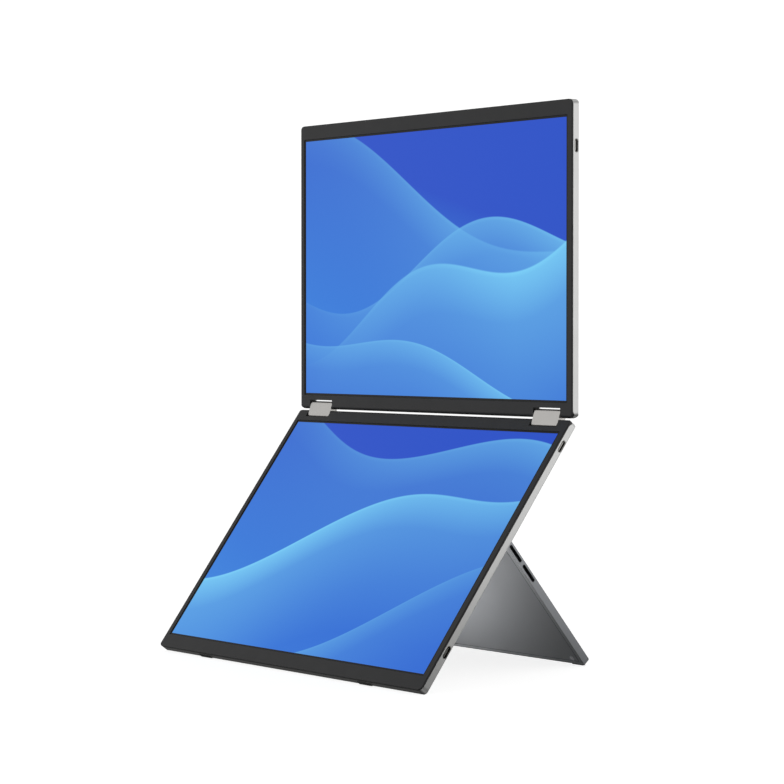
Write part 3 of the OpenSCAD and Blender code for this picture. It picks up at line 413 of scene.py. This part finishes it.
def glass_filled_nylon(name):
    """Black glass-filled nylon housing. To the eye it is a dark grey with faint
    fibre streaks."""
    material, tree, surface, place = new_material(name, {"IOR": 1.53})
    shade_range(tree, surface, place, srgb("#1b1b1c"), 2 * MM, 0.3)
    gloss_range(tree, surface, place, 0.5, 0.65, 2 * MM)
    stretch = add_node(tree, "ShaderNodeMapping",
                       {"Scale": (1 / (0.3 * MM), 1 / (0.3 * MM), 1 / (3 * MM))},
                       {"Vector": place})
    fibres = add_node(tree, "ShaderNodeTexNoise", {"Scale": 1.0},
                      {"Vector": stretch.outputs["Vector"]})
    relief(tree, surface, fibres.outputs["Fac"], 0.02 * MM, 0.5)
    return material


# Hills of the picture, from the farthest to the nearest. Each edge runs at
# height + slope * u + swing * sin(2 pi (turns * u + phase)), and its light fades
# over reach below it. The light is light + gain * u. All are shares of the
# picture's width and height.
HILL_TERMS = ("height", "slope", "swing", "turns", "phase", "reach", "light", "gain")
UPPER_HILLS = [dict(zip(HILL_TERMS, values)) for values in (
    (1.02, -0.50, 0.09, 0.9, 0.12, 0.70, 0.20, 0.55),
    (0.40, 0.20, 0.12, 1.0, 0.55, 0.55, 0.15, 0.60),
    (0.20, 0.42, -0.09, 1.2, 0.20, 0.75, 0.10, 1.10),
    (0.26, -0.26, 0.06, 1.1, 0.75, 0.40, 0.35, 0.60),
)]
LOWER_HILLS = [dict(zip(HILL_TERMS, values)) for values in (
    (1.02, -0.16, 0.10, 0.9, 0.40, 0.60, 0.20, 0.40),
    (0.34, 0.46, 0.09, 1.0, 0.70, 0.60, 1.10, -0.40),
    (-0.25, 0.62, 0.07, 1.1, 0.15, 0.45, 0.55, -0.25),
)]


def hill_picture(tree, across, up, hills, picture):
    """Colour of the picture at (across, up), both 0 to 1: a sky from lower left to
    upper right, then each hill mixed over it, brightest just below its edge."""
    slant = add_node(tree, "ShaderNodeMath", {1: 0.45}, {0: across, 2: up},
                     operation="MULTIPLY_ADD")
    sky = add_node(tree, "ShaderNodeMix", {6: picture.sky_low, 7: picture.sky_high},
                   {"Factor": slant.outputs[0]}, data_type="RGBA")
    colour = sky.outputs[2]
    for hill in hills:
        turn = add_node(tree, "ShaderNodeMath",
                        {1: 2 * math.pi * hill["turns"], 2: 2 * math.pi * hill["phase"]},
                        {0: across}, operation="MULTIPLY_ADD")
        wave = add_node(tree, "ShaderNodeMath", links={0: turn.outputs[0]}, operation="SINE")
        swing = add_node(tree, "ShaderNodeMath", {1: hill["swing"], 2: hill["height"]},
                         {0: wave.outputs[0]}, operation="MULTIPLY_ADD")
        edge = add_node(tree, "ShaderNodeMath", {1: hill["slope"]},
                        {0: across, 2: swing.outputs[0]}, operation="MULTIPLY_ADD")
        below = add_node(tree, "ShaderNodeMath", links={0: edge.outputs[0], 1: up},
                         operation="SUBTRACT")
        share = add_node(tree, "ShaderNodeMath", {1: hill["reach"]}, {0: below.outputs[0]},
                         operation="DIVIDE")
        body = add_node(tree, "ShaderNodeMapRange",
                        {"From Min": 0.0, "From Max": 0.012, "To Max": 0.55},
                        {"Value": share.outputs[0]}, interpolation_type="SMOOTHSTEP")
        filled = add_node(tree, "ShaderNodeMix", {7: picture.hill},
                          {"Factor": body.outputs["Result"], 6: colour}, data_type="RGBA")
        glow = add_node(tree, "ShaderNodeValToRGB", links={"Fac": share.outputs[0]})
        stops = [(0.0, 0.0), (0.008, 1.0), (0.03, 0.8), (0.25, 0.35), (1.0, 0.0)]
        elements = glow.color_ramp.elements
        while len(elements) < len(stops):
            elements.new(0.5)
        for element, (position, level) in zip(elements, stops):
            element.position = position
            element.color = [level] * 3 + [1.0]
        gain = add_node(tree, "ShaderNodeMath", {1: hill["gain"], 2: hill["light"]}, {0: across},
                        operation="MULTIPLY_ADD", use_clamp=True)
        light = add_node(tree, "ShaderNodeMath",
                         links={0: glow.outputs["Color"], 1: gain.outputs[0]},
                         operation="MULTIPLY")
        lit = add_node(tree, "ShaderNodeMix", {7: picture.crest},
                       {"Factor": light.outputs[0], 6: filled.outputs[2]}, data_type="RGBA")
        colour = lit.outputs[2]
    return colour


def lit_display_glass(name, corner, lean, size, hills, picture):
    """Hard-coated glass with a faint anti-glare haze over a lit panel, and black
    ceramic print round the picture. To the eye the picture is even and the black
    border is deep, with only a weak soft reflection."""
    material, tree, surface, place = new_material(
        name, {
            "Base Color": srgb("#050506"), "Roughness": 0.18, "IOR": 1.5,
            "Specular IOR Level": 0.18, "Emission Strength": picture.brightness,
        })
    # Seen from its lower left corner, in shares of the picture's width and height
    on_panel = add_node(tree, "ShaderNodeMapping",
                        {"Location": corner, "Rotation": (-lean, 0.0, 0.0),
                         "Scale": (size[0], 1.0, size[1])},
                        {"Vector": place}, vector_type="TEXTURE")
    parts = add_node(tree, "ShaderNodeSeparateXYZ", links={"Vector": on_panel.outputs["Vector"]})
    across, up = parts.outputs["X"], parts.outputs["Z"]
    offsets = []
    for share in (across, up):
        centred = add_node(tree, "ShaderNodeMath", {1: 0.5}, {0: share}, operation="SUBTRACT")
        offsets.append(add_node(tree, "ShaderNodeMath", links={0: centred.outputs[0]},
                                operation="ABSOLUTE").outputs[0])
    outermost = add_node(tree, "ShaderNodeMath", links={0: offsets[0], 1: offsets[1]},
                         operation="MAXIMUM")
    inside = add_node(tree, "ShaderNodeMath", {1: 0.5}, {0: outermost.outputs[0]},
                      operation="LESS_THAN")
    colour = hill_picture(tree, across, up, hills, picture)
    shown = add_node(tree, "ShaderNodeMix", {6: srgb("#000000")},
                     {"Factor": inside.outputs[0], 7: colour}, data_type="RGBA")
    tree.links.new(shown.outputs[2], surface.inputs["Emission Color"])
    return material


def dress(material, *names):
    """Puts a finish on CAD pieces through their material slots."""
    for name in names:
        for slot in NODES[name].material_slots:
            slot.material = material


# ------------------------------------------------------------------ displays' places

class DisplayPlace:
    """Where a display lies: x across, depth from its mid-plane to its back, and
    reach from its hinge axis towards its far edge."""

    def __init__(self, hinge, side, lean):
        self.axis = np.array(JOINTS[hinge]["pos_m"])
        self.side = side
        self.lean = lean

    def world(self, x, depth, reach):
        """Row-frame points: the axis, plus depth along the back's normal, plus
        reach up the upright display or down the leaning one."""
        cos, sin = math.cos(self.lean), math.sin(self.lean)
        x, depth, reach = np.broadcast_arrays(x, depth, reach)
        y = self.axis[1] + depth * cos + self.side * reach * sin
        z = self.axis[2] - depth * sin + self.side * reach * cos
        return np.stack([x, y, z], axis=-1)


def display_places():
    """The link between the two hinge axes leans by half the lower display's lean."""
    low = np.array(JOINTS["lower_hinge"]["pos_m"])
    high = np.array(JOINTS["upper_hinge"]["pos_m"])
    lean = 2 * math.atan2(high[1] - low[1], high[2] - low[2])
    return DisplayPlace("upper_hinge", 1, 0.0), DisplayPlace("lower_hinge", -1, lean)


def stand_directions():
    """The middle of the stand's hinge axis, the way from it to the stand's feet,
    and the way out of its outer face. The stand's slope is a right angle plus the
    display's lean less the angle that the stand is open."""
    stand = JOINTS["stand_hinge"]
    slope = math.pi / 2 + display_places()[1].lean + math.radians(stand["range_deg"][0])
    return (np.array(stand["pos_m"]) * [0, 1, 1],
            np.array([0.0, math.cos(slope), -math.sin(slope)]),
            np.array([0.0, math.sin(slope), math.cos(slope)]))


def glass_extent(details):
    """Half width and nearest and farthest reach of the lit picture, and the depth
    of the glass face, all taken from the upright display's glass."""
    low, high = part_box("upper_glass")
    axis = JOINTS["upper_hinge"]["pos_m"]
    hidden = details.black_margin + details.glass_lap
    half = high.x - hidden
    return half, low.z + hidden - axis[2], high.z - hidden - axis[2], low.y - axis[1]


# ------------------------------------------------------------------ meshes

def grid_faces(points, loop):
    """Faces of grids of points of shape (pieces, rows, columns, 3) whose columns
    close on themselves. Each cell of four neighbours is a face. The rows close as
    well in a loop, and otherwise each end row is a face of its own."""
    index = np.arange(points[..., 0].size).reshape(points.shape[:3])
    next_row = np.roll(index, -1, axis=1)
    cells = np.stack([index, np.roll(index, -1, axis=2), np.roll(next_row, -1, axis=2), next_row],
                     axis=-1)
    if loop:
        return cells.reshape(-1, 4).tolist()
    ends = index[:, 0, ::-1].tolist() + index[:, -1].tolist()
    return cells[:, :-1].reshape(-1, 4).tolist() + ends


def ringed_piece(name, grids, material, body, loop=False):
    """One piece of rings of points carried along paths, from a list of grids."""
    vertices, faces = [], []
    for grid in grids:
        faces += [[corner + len(vertices) for corner in face] for face in grid_faces(grid, loop)]
        vertices += grid.reshape(-1, 3).tolist()
    mesh = bpy.data.meshes.new(name)
    mesh.from_pydata(vertices, [], faces)
    mesh.materials.append(material)
    mesh.polygons.foreach_set("use_smooth", np.ones(len(mesh.polygons), bool))
    mesh.update()
    piece = bpy.data.objects.new(name, mesh)
    bpy.context.scene.collection.objects.link(piece)
    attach(piece, body)


def turn_steps(count):
    """Angles of evenly spaced points round a circle."""
    return np.linspace(0, 2 * math.pi, count, endpoint=False)


def contact_strips(place, side, reach, face, count, pitch):
    """Strips side by side on one face of a connector's tongue. Each is an ellipse
    carried along X, with its ends drawn in."""
    size = STRIP_SHARES[:, None]
    angle = turn_steps(8)
    middle = (np.arange(count) - (count - 1) / 2) * pitch + reach
    x, across, depth = np.broadcast_arrays(
        STRIP_STATIONS[None, :, None] * side,
        middle[:, None, None] + STRIP_HALF_WIDTH * size * np.cos(angle),
        PORT_DEPTH + face * TONGUE_HALF + STRIP_HALF_HEIGHT * size * np.sin(angle))
    points = place.world(x, depth, across)
    return points if side * place.side < 0 else points[:, ::-1]


def mesh_wires(centre, along, normal, length, width, pitch):
    """Woven wires over one sound slot, four-sided rings carried along and across it.
    A wire at v across the slot reaches half the straight part plus
    sqrt(r * r - v * v), where r is half the slot's width. It rises and falls by
    its radius as cos(pi * place / pitch), opposite to the wires that it crosses."""
    radius, end = 0.06 * MM, width / 2
    straight = length / 2 - end
    turn = turn_steps(4)
    side = np.array([1.0, 0.0, 0.0])
    grids = []
    for way, other, span, steps in ((along, normal, end, 61), (normal, along, length / 2, 13)):
        count = int(span / pitch)
        rank = np.arange(-count, count + 1)
        v = rank * pitch
        if way is along:
            half = straight + np.sqrt(end ** 2 - v ** 2)
        else:
            half = np.sqrt(end ** 2 - np.clip(abs(v) - straight, 0, None) ** 2)
        u = half[:, None] * np.linspace(-1, 1, steps)
        sign = 1 if way is along else -1
        rise = sign * radius * np.cos(math.pi * (u / pitch + rank[:, None]))
        ring = radius * (np.cos(turn)[:, None] * other + np.sin(turn)[:, None] * side * sign)
        path = centre + u[..., None] * way + v[:, None, None] * other + rise[..., None] * side
        grids.append(path[:, :, None] + ring)
    return grids


def rounded_rectangle(half_x, low, high, radius, steps=6):
    """Points and outward directions round a rectangle whose four corners are
    quarter circles: corner centre + radius * (cos a, sin a)."""
    turn = np.linspace(0, math.pi / 2, steps)
    centres = [(half_x - radius, high - radius), (radius - half_x, high - radius),
               (radius - half_x, low + radius), (half_x - radius, low + radius)]
    angle = np.concatenate([turn + k * math.pi / 2 for k in range(4)])
    centre = np.repeat(np.array(centres), steps, axis=0)
    out = np.stack([np.cos(angle), np.sin(angle)], axis=-1)
    return centre + radius * out, out


def carried_circle(path, out, radius, sides):
    """A circle carried round a flat path: across it, path + radius * cos a * out,
    and deep, radius * sin a."""
    angle = turn_steps(sides)
    across = path[:, None] + radius * np.cos(angle)[:, None] * out[:, None]
    return across, np.broadcast_to(radius * np.sin(angle), across.shape[:2])


# ------------------------------------------------------------------ operators

class EXTENDER_OT_finish_displays(Operator):
    """Lights the picture behind the glass of both displays"""
    bl_idname = "extender.finish_displays"
    bl_label = "Displays"

    def execute(self, context):
        picture = context.scene.extender_picture
        half, near, far, face = glass_extent(context.scene.extender_details)
        upper, lower = display_places()
        size = (2 * half, far - near)
        places = [("upper_glass", upper, near, UPPER_HILLS),
                  ("lower_glass", lower, far, LOWER_HILLS)]
        for node, place, bottom, hills in places:
            corner = place.world(-half, face, bottom).tolist()
            name = node + "_coated"
            dress(lit_display_glass(name, corner, place.lean, size, hills, picture), node)
        return {"FINISHED"}


class EXTENDER_OT_finish_frames(Operator):
    """Gives both front frames their dark moulded grain"""
    bl_idname = "extender.finish_frames"
    bl_label = "Front frames"

    def execute(self, context):
        colour = context.scene.extender_finishes.frame
        dress(textured_moulded_abs("frame_abs", colour), "upper_bezel", "lower_bezel")
        return {"FINISHED"}


class EXTENDER_OT_finish_covers(Operator):
    """Gives both back covers their blasted aluminium"""
    bl_idname = "extender.finish_covers"
    bl_label = "Back covers"

    def execute(self, context):
        colour = context.scene.extender_finishes.cover
        dress(blasted_anodised_aluminium("cover_aluminium", colour, 0.40),
              "upper_back_cover", "lower_back_cover")
        return {"FINISHED"}


class EXTENDER_OT_finish_hinges(Operator):
    """Finishes the covers, shafts, gears, clips and brackets of the fold hinge"""
    bl_idname = "extender.finish_hinges"
    bl_label = "Fold hinge"

    def execute(self, context):
        finishes = context.scene.extender_finishes
        dress(satin_plated_zinc("hinge_cover_zinc", finishes.hinge_cover),
              "left_hinge_cover", "right_hinge_cover")
        dress(turned_steel("hinge_steel", finishes.steel, 0.32, 0.4 * MM),
              "lower_hinge_shafts", "upper_hinge_shafts", "hinge_bearing_plates", "friction_clips",
              "lower_hinge_brackets", "upper_hinge_brackets")
        dress(sintered_steel("gear_steel", srgb("#6f6c66")),
              "lower_idler_gears", "upper_idler_gears")
        dress(turned_steel("screw_steel", srgb("#8d8f94"), 0.28, 0.3 * MM),
              "lower_bracket_screws", "upper_bracket_screws", "stand_mount_screws",
              "stand_block_screws")
        return {"FINISHED"}


class EXTENDER_OT_finish_stand(Operator):
    """Finishes the kickstand, its inner plate, its hinge and its speakers"""
    bl_idname = "extender.finish_stand"
    bl_label = "Kickstand"

    def execute(self, context):
        finishes = context.scene.extender_finishes
        dress(blasted_anodised_aluminium("stand_aluminium", finishes.stand, 0.45), "stand_shell")
        dress(blasted_anodised_aluminium("stand_plate_aluminium", finishes.stand_plate, 0.48),
              "stand_inner_cover")
        dress(turned_steel("stand_hinge_steel", finishes.steel, 0.35, 0.5 * MM),
              "stand_hinge_mounts", "stand_hinge_blocks", "stand_hinge_pins")
        dress(glass_filled_nylon("speaker_nylon"), "speakers")
        return {"FINISHED"}


class EXTENDER_OT_finish_feet(Operator):
    """Gives the feet and bumpers their rubber, the bumpers' grey lightened to paint their
    highlight
    """
    bl_idname = "extender.finish_feet"
    bl_label = "Feet"

    def execute(self, context):
        colour = context.scene.extender_finishes.rubber
        dress(moulded_rubber("foot_rubber", colour), "edge_feet", "stand_feet")
        # Light grey bumper rubber, lightened further to paint the small highlight on each bumper
        dress(moulded_rubber("bumper_rubber_painted_highlight", srgb("#8c8d90")), "stand_bumpers")
        return {"FINISHED"}


class EXTENDER_OT_finish_connectors(Operator):
    """Plates the connector shells and finishes the side buttons"""
    bl_idname = "extender.finish_connectors"
    bl_label = "Connectors and buttons"

    def execute(self, context):
        finishes = context.scene.extender_finishes
        dress(nickel_plated_steel("connector_nickel", finishes.connector),
              "lower_usb_ports", "upper_usb_port", "mini_hdmi_port")
        dress(blasted_anodised_aluminium("button_aluminium", finishes.button, 0.36),
              "power_button", "brightness_up_button", "brightness_down_button")
        return {"FINISHED"}


class EXTENDER_OT_finish_electronics(Operator):
    """Finishes the boards, the flat cable and the backlights inside"""
    bl_idname = "extender.finish_electronics"
    bl_label = "Electronics"

    def execute(self, context):
        colour = context.scene.extender_finishes.board
        dress(solder_masked_board("board_mask", colour),
              "main_board", "lower_driver_board", "upper_driver_board", "lower_port_boards",
              "upper_port_board", "button_board")
        dress(polyimide_ribbon("cable_film"), "lower_flat_cable")
        dress(white_light_guide("light_guide_acrylic"), "lower_backlight", "upper_backlight")
        return {"FINISHED"}


class EXTENDER_OT_add_gaskets(Operator):
    """Lays a soft bead between each frame and its glass"""
    bl_idname = "extender.add_gaskets"
    bl_label = "Gaskets"

    def execute(self, context):
        details = context.scene.extender_details
        half, near, far, face = glass_extent(details)
        margin = details.black_margin
        material = moulded_rubber("gasket_foam", srgb("#0b0b0b"))
        # The path is the window's edge, whose corners have a 0.6 mm radius
        path, out = rounded_rectangle(half + margin, near - margin, far + margin, 0.6 * MM)
        across, depth = carried_circle(path, out, details.gasket_radius, 12)
        for place, body, name in zip(display_places(), ("upper_screen", "lower_screen"),
                                     ("upper_gasket", "lower_gasket")):
            points = place.world(across[..., 0], face + depth, across[..., 1])
            if place.side < 0:
                points = points[::-1]
            ringed_piece(name, [points[None]], material, body, loop=True)
        return {"FINISHED"}


class EXTENDER_OT_add_plate_groove_shade(Operator):
    """Lays a dark bead in the groove round the stand's inner plate: painted shade in the groove"""
    bl_idname = "extender.add_plate_bead"
    bl_label = "Plate groove shade"

    def execute(self, context):
        centre, along, normal = stand_directions()
        path, out = rounded_rectangle(PLATE_HALF, PLATE_START, PLATE_END, PLATE_CORNER)
        across, depth = carried_circle(path, out, GROOVE_SHADE_RADIUS, 8)
        points = (centre + across[..., 1:] * along + (GROOVE_SHADE_DEPTH + depth[..., None]) * normal
                  + across[..., :1] * np.array([1.0, 0.0, 0.0]))
        # The bead's near-black colour paints the shade in the groove round the plate
        ringed_piece("stand_plate_groove_shade", [points[None, ::-1]],
                     moulded_rubber("groove_painted_shade", srgb("#161617")), "stand",
                     loop=True)
        return {"FINISHED"}


class EXTENDER_OT_add_contacts(Operator):
    """Lays gold-plated contact strips on both faces of each connector's tongue"""
    bl_idname = "extender.add_contacts"
    bl_label = "Contact strips"

    def execute(self, context):
        pitch = context.scene.extender_details.contact_pitch
        material = gold_plated_bronze("contact_gold", context.scene.extender_finishes.contact)
        upper, lower = display_places()
        # Display, side, reach, strips on the back and on the front of the tongue, pitch
        pieces = {
            ("upper_contacts", "upper_screen"): [(upper, 1, FAR_PORT, 12, 12, pitch)],
            ("lower_contacts", "lower_screen"): [
                (lower, 1, FAR_PORT, 12, 12, pitch), (lower, 1, NEAR_PORT, 12, 12, pitch),
                (lower, -1, HDMI_PORT, 10, 9, pitch * 0.8)],
        }
        for (name, body), connectors in pieces.items():
            grids = []
            for place, side, reach, back, front, spacing in connectors:
                grids += [contact_strips(place, side, reach, 1, back, spacing),
                          contact_strips(place, side, reach, -1, front, spacing)]
            ringed_piece(name, grids, material, body)
        return {"FINISHED"}


class EXTENDER_OT_add_dust_mesh(Operator):
    """Sets a woven wire mesh into the stand's four sound slots"""
    bl_idname = "extender.add_dust_mesh"
    bl_label = "Dust mesh"

    def execute(self, context):
        pitch = context.scene.extender_details.mesh_pitch
        centre, along, normal = stand_directions()
        grids = []
        for x in (-SLOT_X, SLOT_X):
            for reach in SLOT_PLACES:
                slot = centre + along * reach + np.array([x, 0.0, 0.0])
                grids += mesh_wires(slot, along, normal, SLOT_LENGTH, SLOT_WIDTH, pitch)
        material = turned_steel("black_mesh_steel", srgb("#2b2b2c"), 0.45, 0.3 * MM)
        ringed_piece("dust_mesh", grids, material, "stand")
        return {"FINISHED"}


class EXTENDER_OT_build_stage(Operator):
    """Builds the floor, the soft light and the camera"""
    bl_idname = "extender.build_stage"
    bl_label = "Studio"

    def execute(self, context):
        studio = context.scene.extender_studio
        build_floor(studio)
        light_sky(context.scene, studio)
        hang_black_flag(studio)
        axis = Vector(JOINTS["upper_hinge"]["pos_m"])
        add_softbox("side_softbox", (1.6, 1.3, 0.6), axis, 1.2, 1.4, studio.side_box)
        add_softbox("front_softbox", (-1.7, -1.6, 1.5), axis, 1.6, 1.6, studio.front_box)
        add_softbox("top_softbox", (0.0, 1.3, 1.9), axis, 1.2, 1.0, studio.top_box)
        add_softbox("floor_softbox", (0.55, 0.6, -0.8), (0.0, 0.1, 0.12), 1.7, 1.7,
                    studio.floor_box)
        # Its grid keeps its light off the front display's lower edge
        add_softbox("fill_card", (-0.17, -0.005, -0.07), (0.63, 0.345, 0.42), 0.07, 0.12,
                    studio.fill_card, 66)
        place_camera(context.scene, studio, axis)
        context.scene.view_settings.view_transform = "Standard"
        return {"FINISHED"}


def stage_sheet(name, points, faces, material, unseen):
    """A sheet of the studio that some kinds of light ray don't see."""
    mesh = bpy.data.meshes.new(name)
    mesh.from_pydata(points.reshape(-1, 3).tolist(), [], faces)
    mesh.polygons.foreach_set("use_smooth", np.ones(len(mesh.polygons), bool))
    mesh.materials.append(material)
    sheet = bpy.data.objects.new(name, mesh)
    bpy.context.scene.collection.objects.link(sheet)
    for ray in unseen:
        setattr(sheet, "visible_" + ray, False)


def build_floor(studio):
    """A disc whose rim rises into a round backdrop: the height is 0 up to the flat
    radius and then 2.6 m times the smooth step of the way out."""
    flat, rim, rise = 4.5, 8.0, 2.6
    radius = np.concatenate([np.linspace(0.01, flat, 12), np.linspace(flat, rim, 20)[1:]])
    angle = turn_steps(96)
    way = np.clip((radius - flat) / (rim - flat), 0, 1)
    height = rise * way * way * (3 - 2 * way)
    x = radius[:, None] * np.cos(angle)
    y = radius[:, None] * np.sin(angle)
    z = np.broadcast_to(height[:, None], x.shape)
    index = np.arange(x.size).reshape(x.shape)
    faces = np.stack([index, np.roll(index, -1, 1)], -1)
    faces = np.concatenate([faces[:-1], faces[1:, :, ::-1]], -1).reshape(-1, 4)
    faces = faces[:, ::-1].tolist() + [index[0].tolist()]
    material, tree, surface, place = new_material(
        "floor_paper", {"Roughness": 0.9, "Emission Color": (1, 1, 1, 1),
                        "Emission Strength": studio.floor_glow})
    shade_range(tree, surface, place, studio.floor, 0.4, 0.005)
    # The floor neither lights the object nor shows in its metal
    stage_sheet("floor", np.stack([x, y, z], -1), faces, material,
                ("diffuse", "glossy", "transmission", "shadow"))


def hang_black_flag(studio):
    """A low black cloth at the right that shades the foot of the side walls. Its
    points are the middle, plus u along it and v up."""
    middle, along, half, foot = np.array([0.404, 0.224]), np.array([-0.6, 0.8]), 0.22, -0.5
    u, v = np.meshgrid(np.linspace(-half, half, 3), np.linspace(foot, studio.flag_height, 3))
    index = np.arange(u.size).reshape(u.shape)
    faces = np.stack([index[:-1, :-1], index[:-1, 1:], index[1:, 1:], index[1:, :-1]], -1)
    material, tree, surface, place = new_material("flag_velvet", {"Roughness": 1.0})
    shade_range(tree, surface, place, srgb("#0a0a0a"), 0.05, 0.2)
    # The cloth shows in the metal alone
    stage_sheet("black_flag", np.dstack([middle + u[..., None] * along, v]),
                faces.reshape(-1, 4).tolist(), material,
                ("camera", "diffuse", "transmission", "shadow"))


def light_sky(scene, studio):
    """Light that is brightest at the horizon and fades overhead and below, behind a
    white backdrop. The levels run between heights of a unit direction."""
    world = bpy.data.worlds.new("studio")
    world.use_nodes = True
    tree = world.node_tree
    tree.nodes.clear()
    toward = add_node(tree, "ShaderNodeTexCoord").outputs["Generated"]
    parts = add_node(tree, "ShaderNodeSeparateXYZ", links={"Vector": toward})
    level = add_node(tree, "ShaderNodeMapRange",
                     {"From Min": -0.50, "From Max": -0.10, "To Min": studio.ground,
                      "To Max": studio.sky},
                     {"Value": parts.outputs["Z"]}, interpolation_type="SMOOTHSTEP")
    overhead = add_node(tree, "ShaderNodeMapRange",
                        {"From Min": 0.15, "From Max": 0.85, "To Min": 1.0,
                         "To Max": studio.zenith},
                        {"Value": parts.outputs["Z"]}, interpolation_type="SMOOTHSTEP")
    strength = add_node(tree, "ShaderNodeMath",
                        links={0: level.outputs["Result"], 1: overhead.outputs["Result"]},
                        operation="MULTIPLY")
    light = add_node(tree, "ShaderNodeBackground", {"Color": (1, 1, 1, 1)},
                     {"Strength": strength.outputs[0]})
    backdrop = add_node(tree, "ShaderNodeBackground", {"Color": (1, 1, 1, 1), "Strength": 1.0})
    path = add_node(tree, "ShaderNodeLightPath")
    mix = add_node(tree, "ShaderNodeMixShader",
                   links={0: path.outputs["Is Camera Ray"], 1: light.outputs[0],
                          2: backdrop.outputs[0]})
    add_node(tree, "ShaderNodeOutputWorld", links={"Surface": mix.outputs[0]})
    scene.world = world


def add_softbox(name, place, aim, width, height, brightness, grid_angle=180):
    """A rectangular light of even brightness: power = brightness * pi * area. A grid
    in front of it keeps its light within an angle."""
    lamp = bpy.data.lights.new(name, "AREA")
    lamp.shape = "RECTANGLE"
    lamp.size = width
    lamp.size_y = height
    lamp.spread = math.radians(grid_angle)
    lamp.energy = brightness * math.pi * width * height
    box = bpy.data.objects.new(name, lamp)
    box.location = place
    box.rotation_euler = (Vector(aim) - Vector(place)).to_track_quat("-Z", "Y").to_euler()
    box.visible_camera = False
    bpy.context.scene.collection.objects.link(box)


def place_camera(scene, studio, axis):
    """The camera stands at a fixed offset from the upper hinge axis."""
    offset = Vector((1.5415, -1.18492, 0.05441))
    azimuth, pitch = math.radians(53.27), math.radians(1.239)
    toward = Vector((-math.sin(azimuth) * math.cos(pitch), math.cos(azimuth) * math.cos(pitch),
                     -math.sin(pitch)))
    lens = bpy.data.cameras.new("camera")
    lens.sensor_width = 36
    lens.lens = studio.focal_length
    lens.clip_start = 0.1
    lens.clip_end = 50
    camera = bpy.data.objects.new("camera", lens)
    camera.location = axis + offset
    camera.rotation_euler = toward.to_track_quat("-Z", "Y").to_euler()
    scene.collection.objects.link(camera)
    scene.camera = camera


OPERATORS = [
    EXTENDER_OT_finish_displays, EXTENDER_OT_finish_frames, EXTENDER_OT_finish_covers,
    EXTENDER_OT_finish_hinges, EXTENDER_OT_finish_stand, EXTENDER_OT_finish_feet,
    EXTENDER_OT_finish_connectors, EXTENDER_OT_finish_electronics, EXTENDER_OT_add_gaskets,
    EXTENDER_OT_add_plate_groove_shade, EXTENDER_OT_add_contacts, EXTENDER_OT_add_dust_mesh,
    EXTENDER_OT_build_stage,
]
SETTINGS = {
    "extender_finishes": ExtenderFinishes, "extender_picture": ExtenderPicture,
    "extender_details": ExtenderDetails, "extender_studio": ExtenderStudio,
}


class EXTENDER_PT_panel(Panel):
    """Settings and steps of the extender"""
    bl_idname = "EXTENDER_PT_panel"
    bl_label = "Dual-screen extender"
    bl_space_type = "VIEW_3D"
    bl_region_type = "UI"
    bl_category = "Extender"

    def draw(self, context):
        for name, group in SETTINGS.items():
            box = self.layout.box()
            box.label(text=group.__doc__)
            for setting in group.__annotations__:
                box.prop(getattr(context.scene, name), setting)
        for operator in OPERATORS:
            self.layout.operator(operator.bl_idname)


def register():
    for cls in [*SETTINGS.values(), *OPERATORS, EXTENDER_PT_panel]:
        bpy.utils.register_class(cls)
    for name, group in SETTINGS.items():
        setattr(bpy.types.Scene, name, PointerProperty(type=group))


def unregister():
    for name in SETTINGS:
        delattr(bpy.types.Scene, name)
    for cls in reversed([*SETTINGS.values(), *OPERATORS, EXTENDER_PT_panel]):
        bpy.utils.unregister_class(cls)


def main():
    register()
    for operator in OPERATORS:
        group, step = operator.bl_idname.split(".")
        getattr(getattr(bpy.ops, group), step)()


if __name__ == "__main__":
    main()
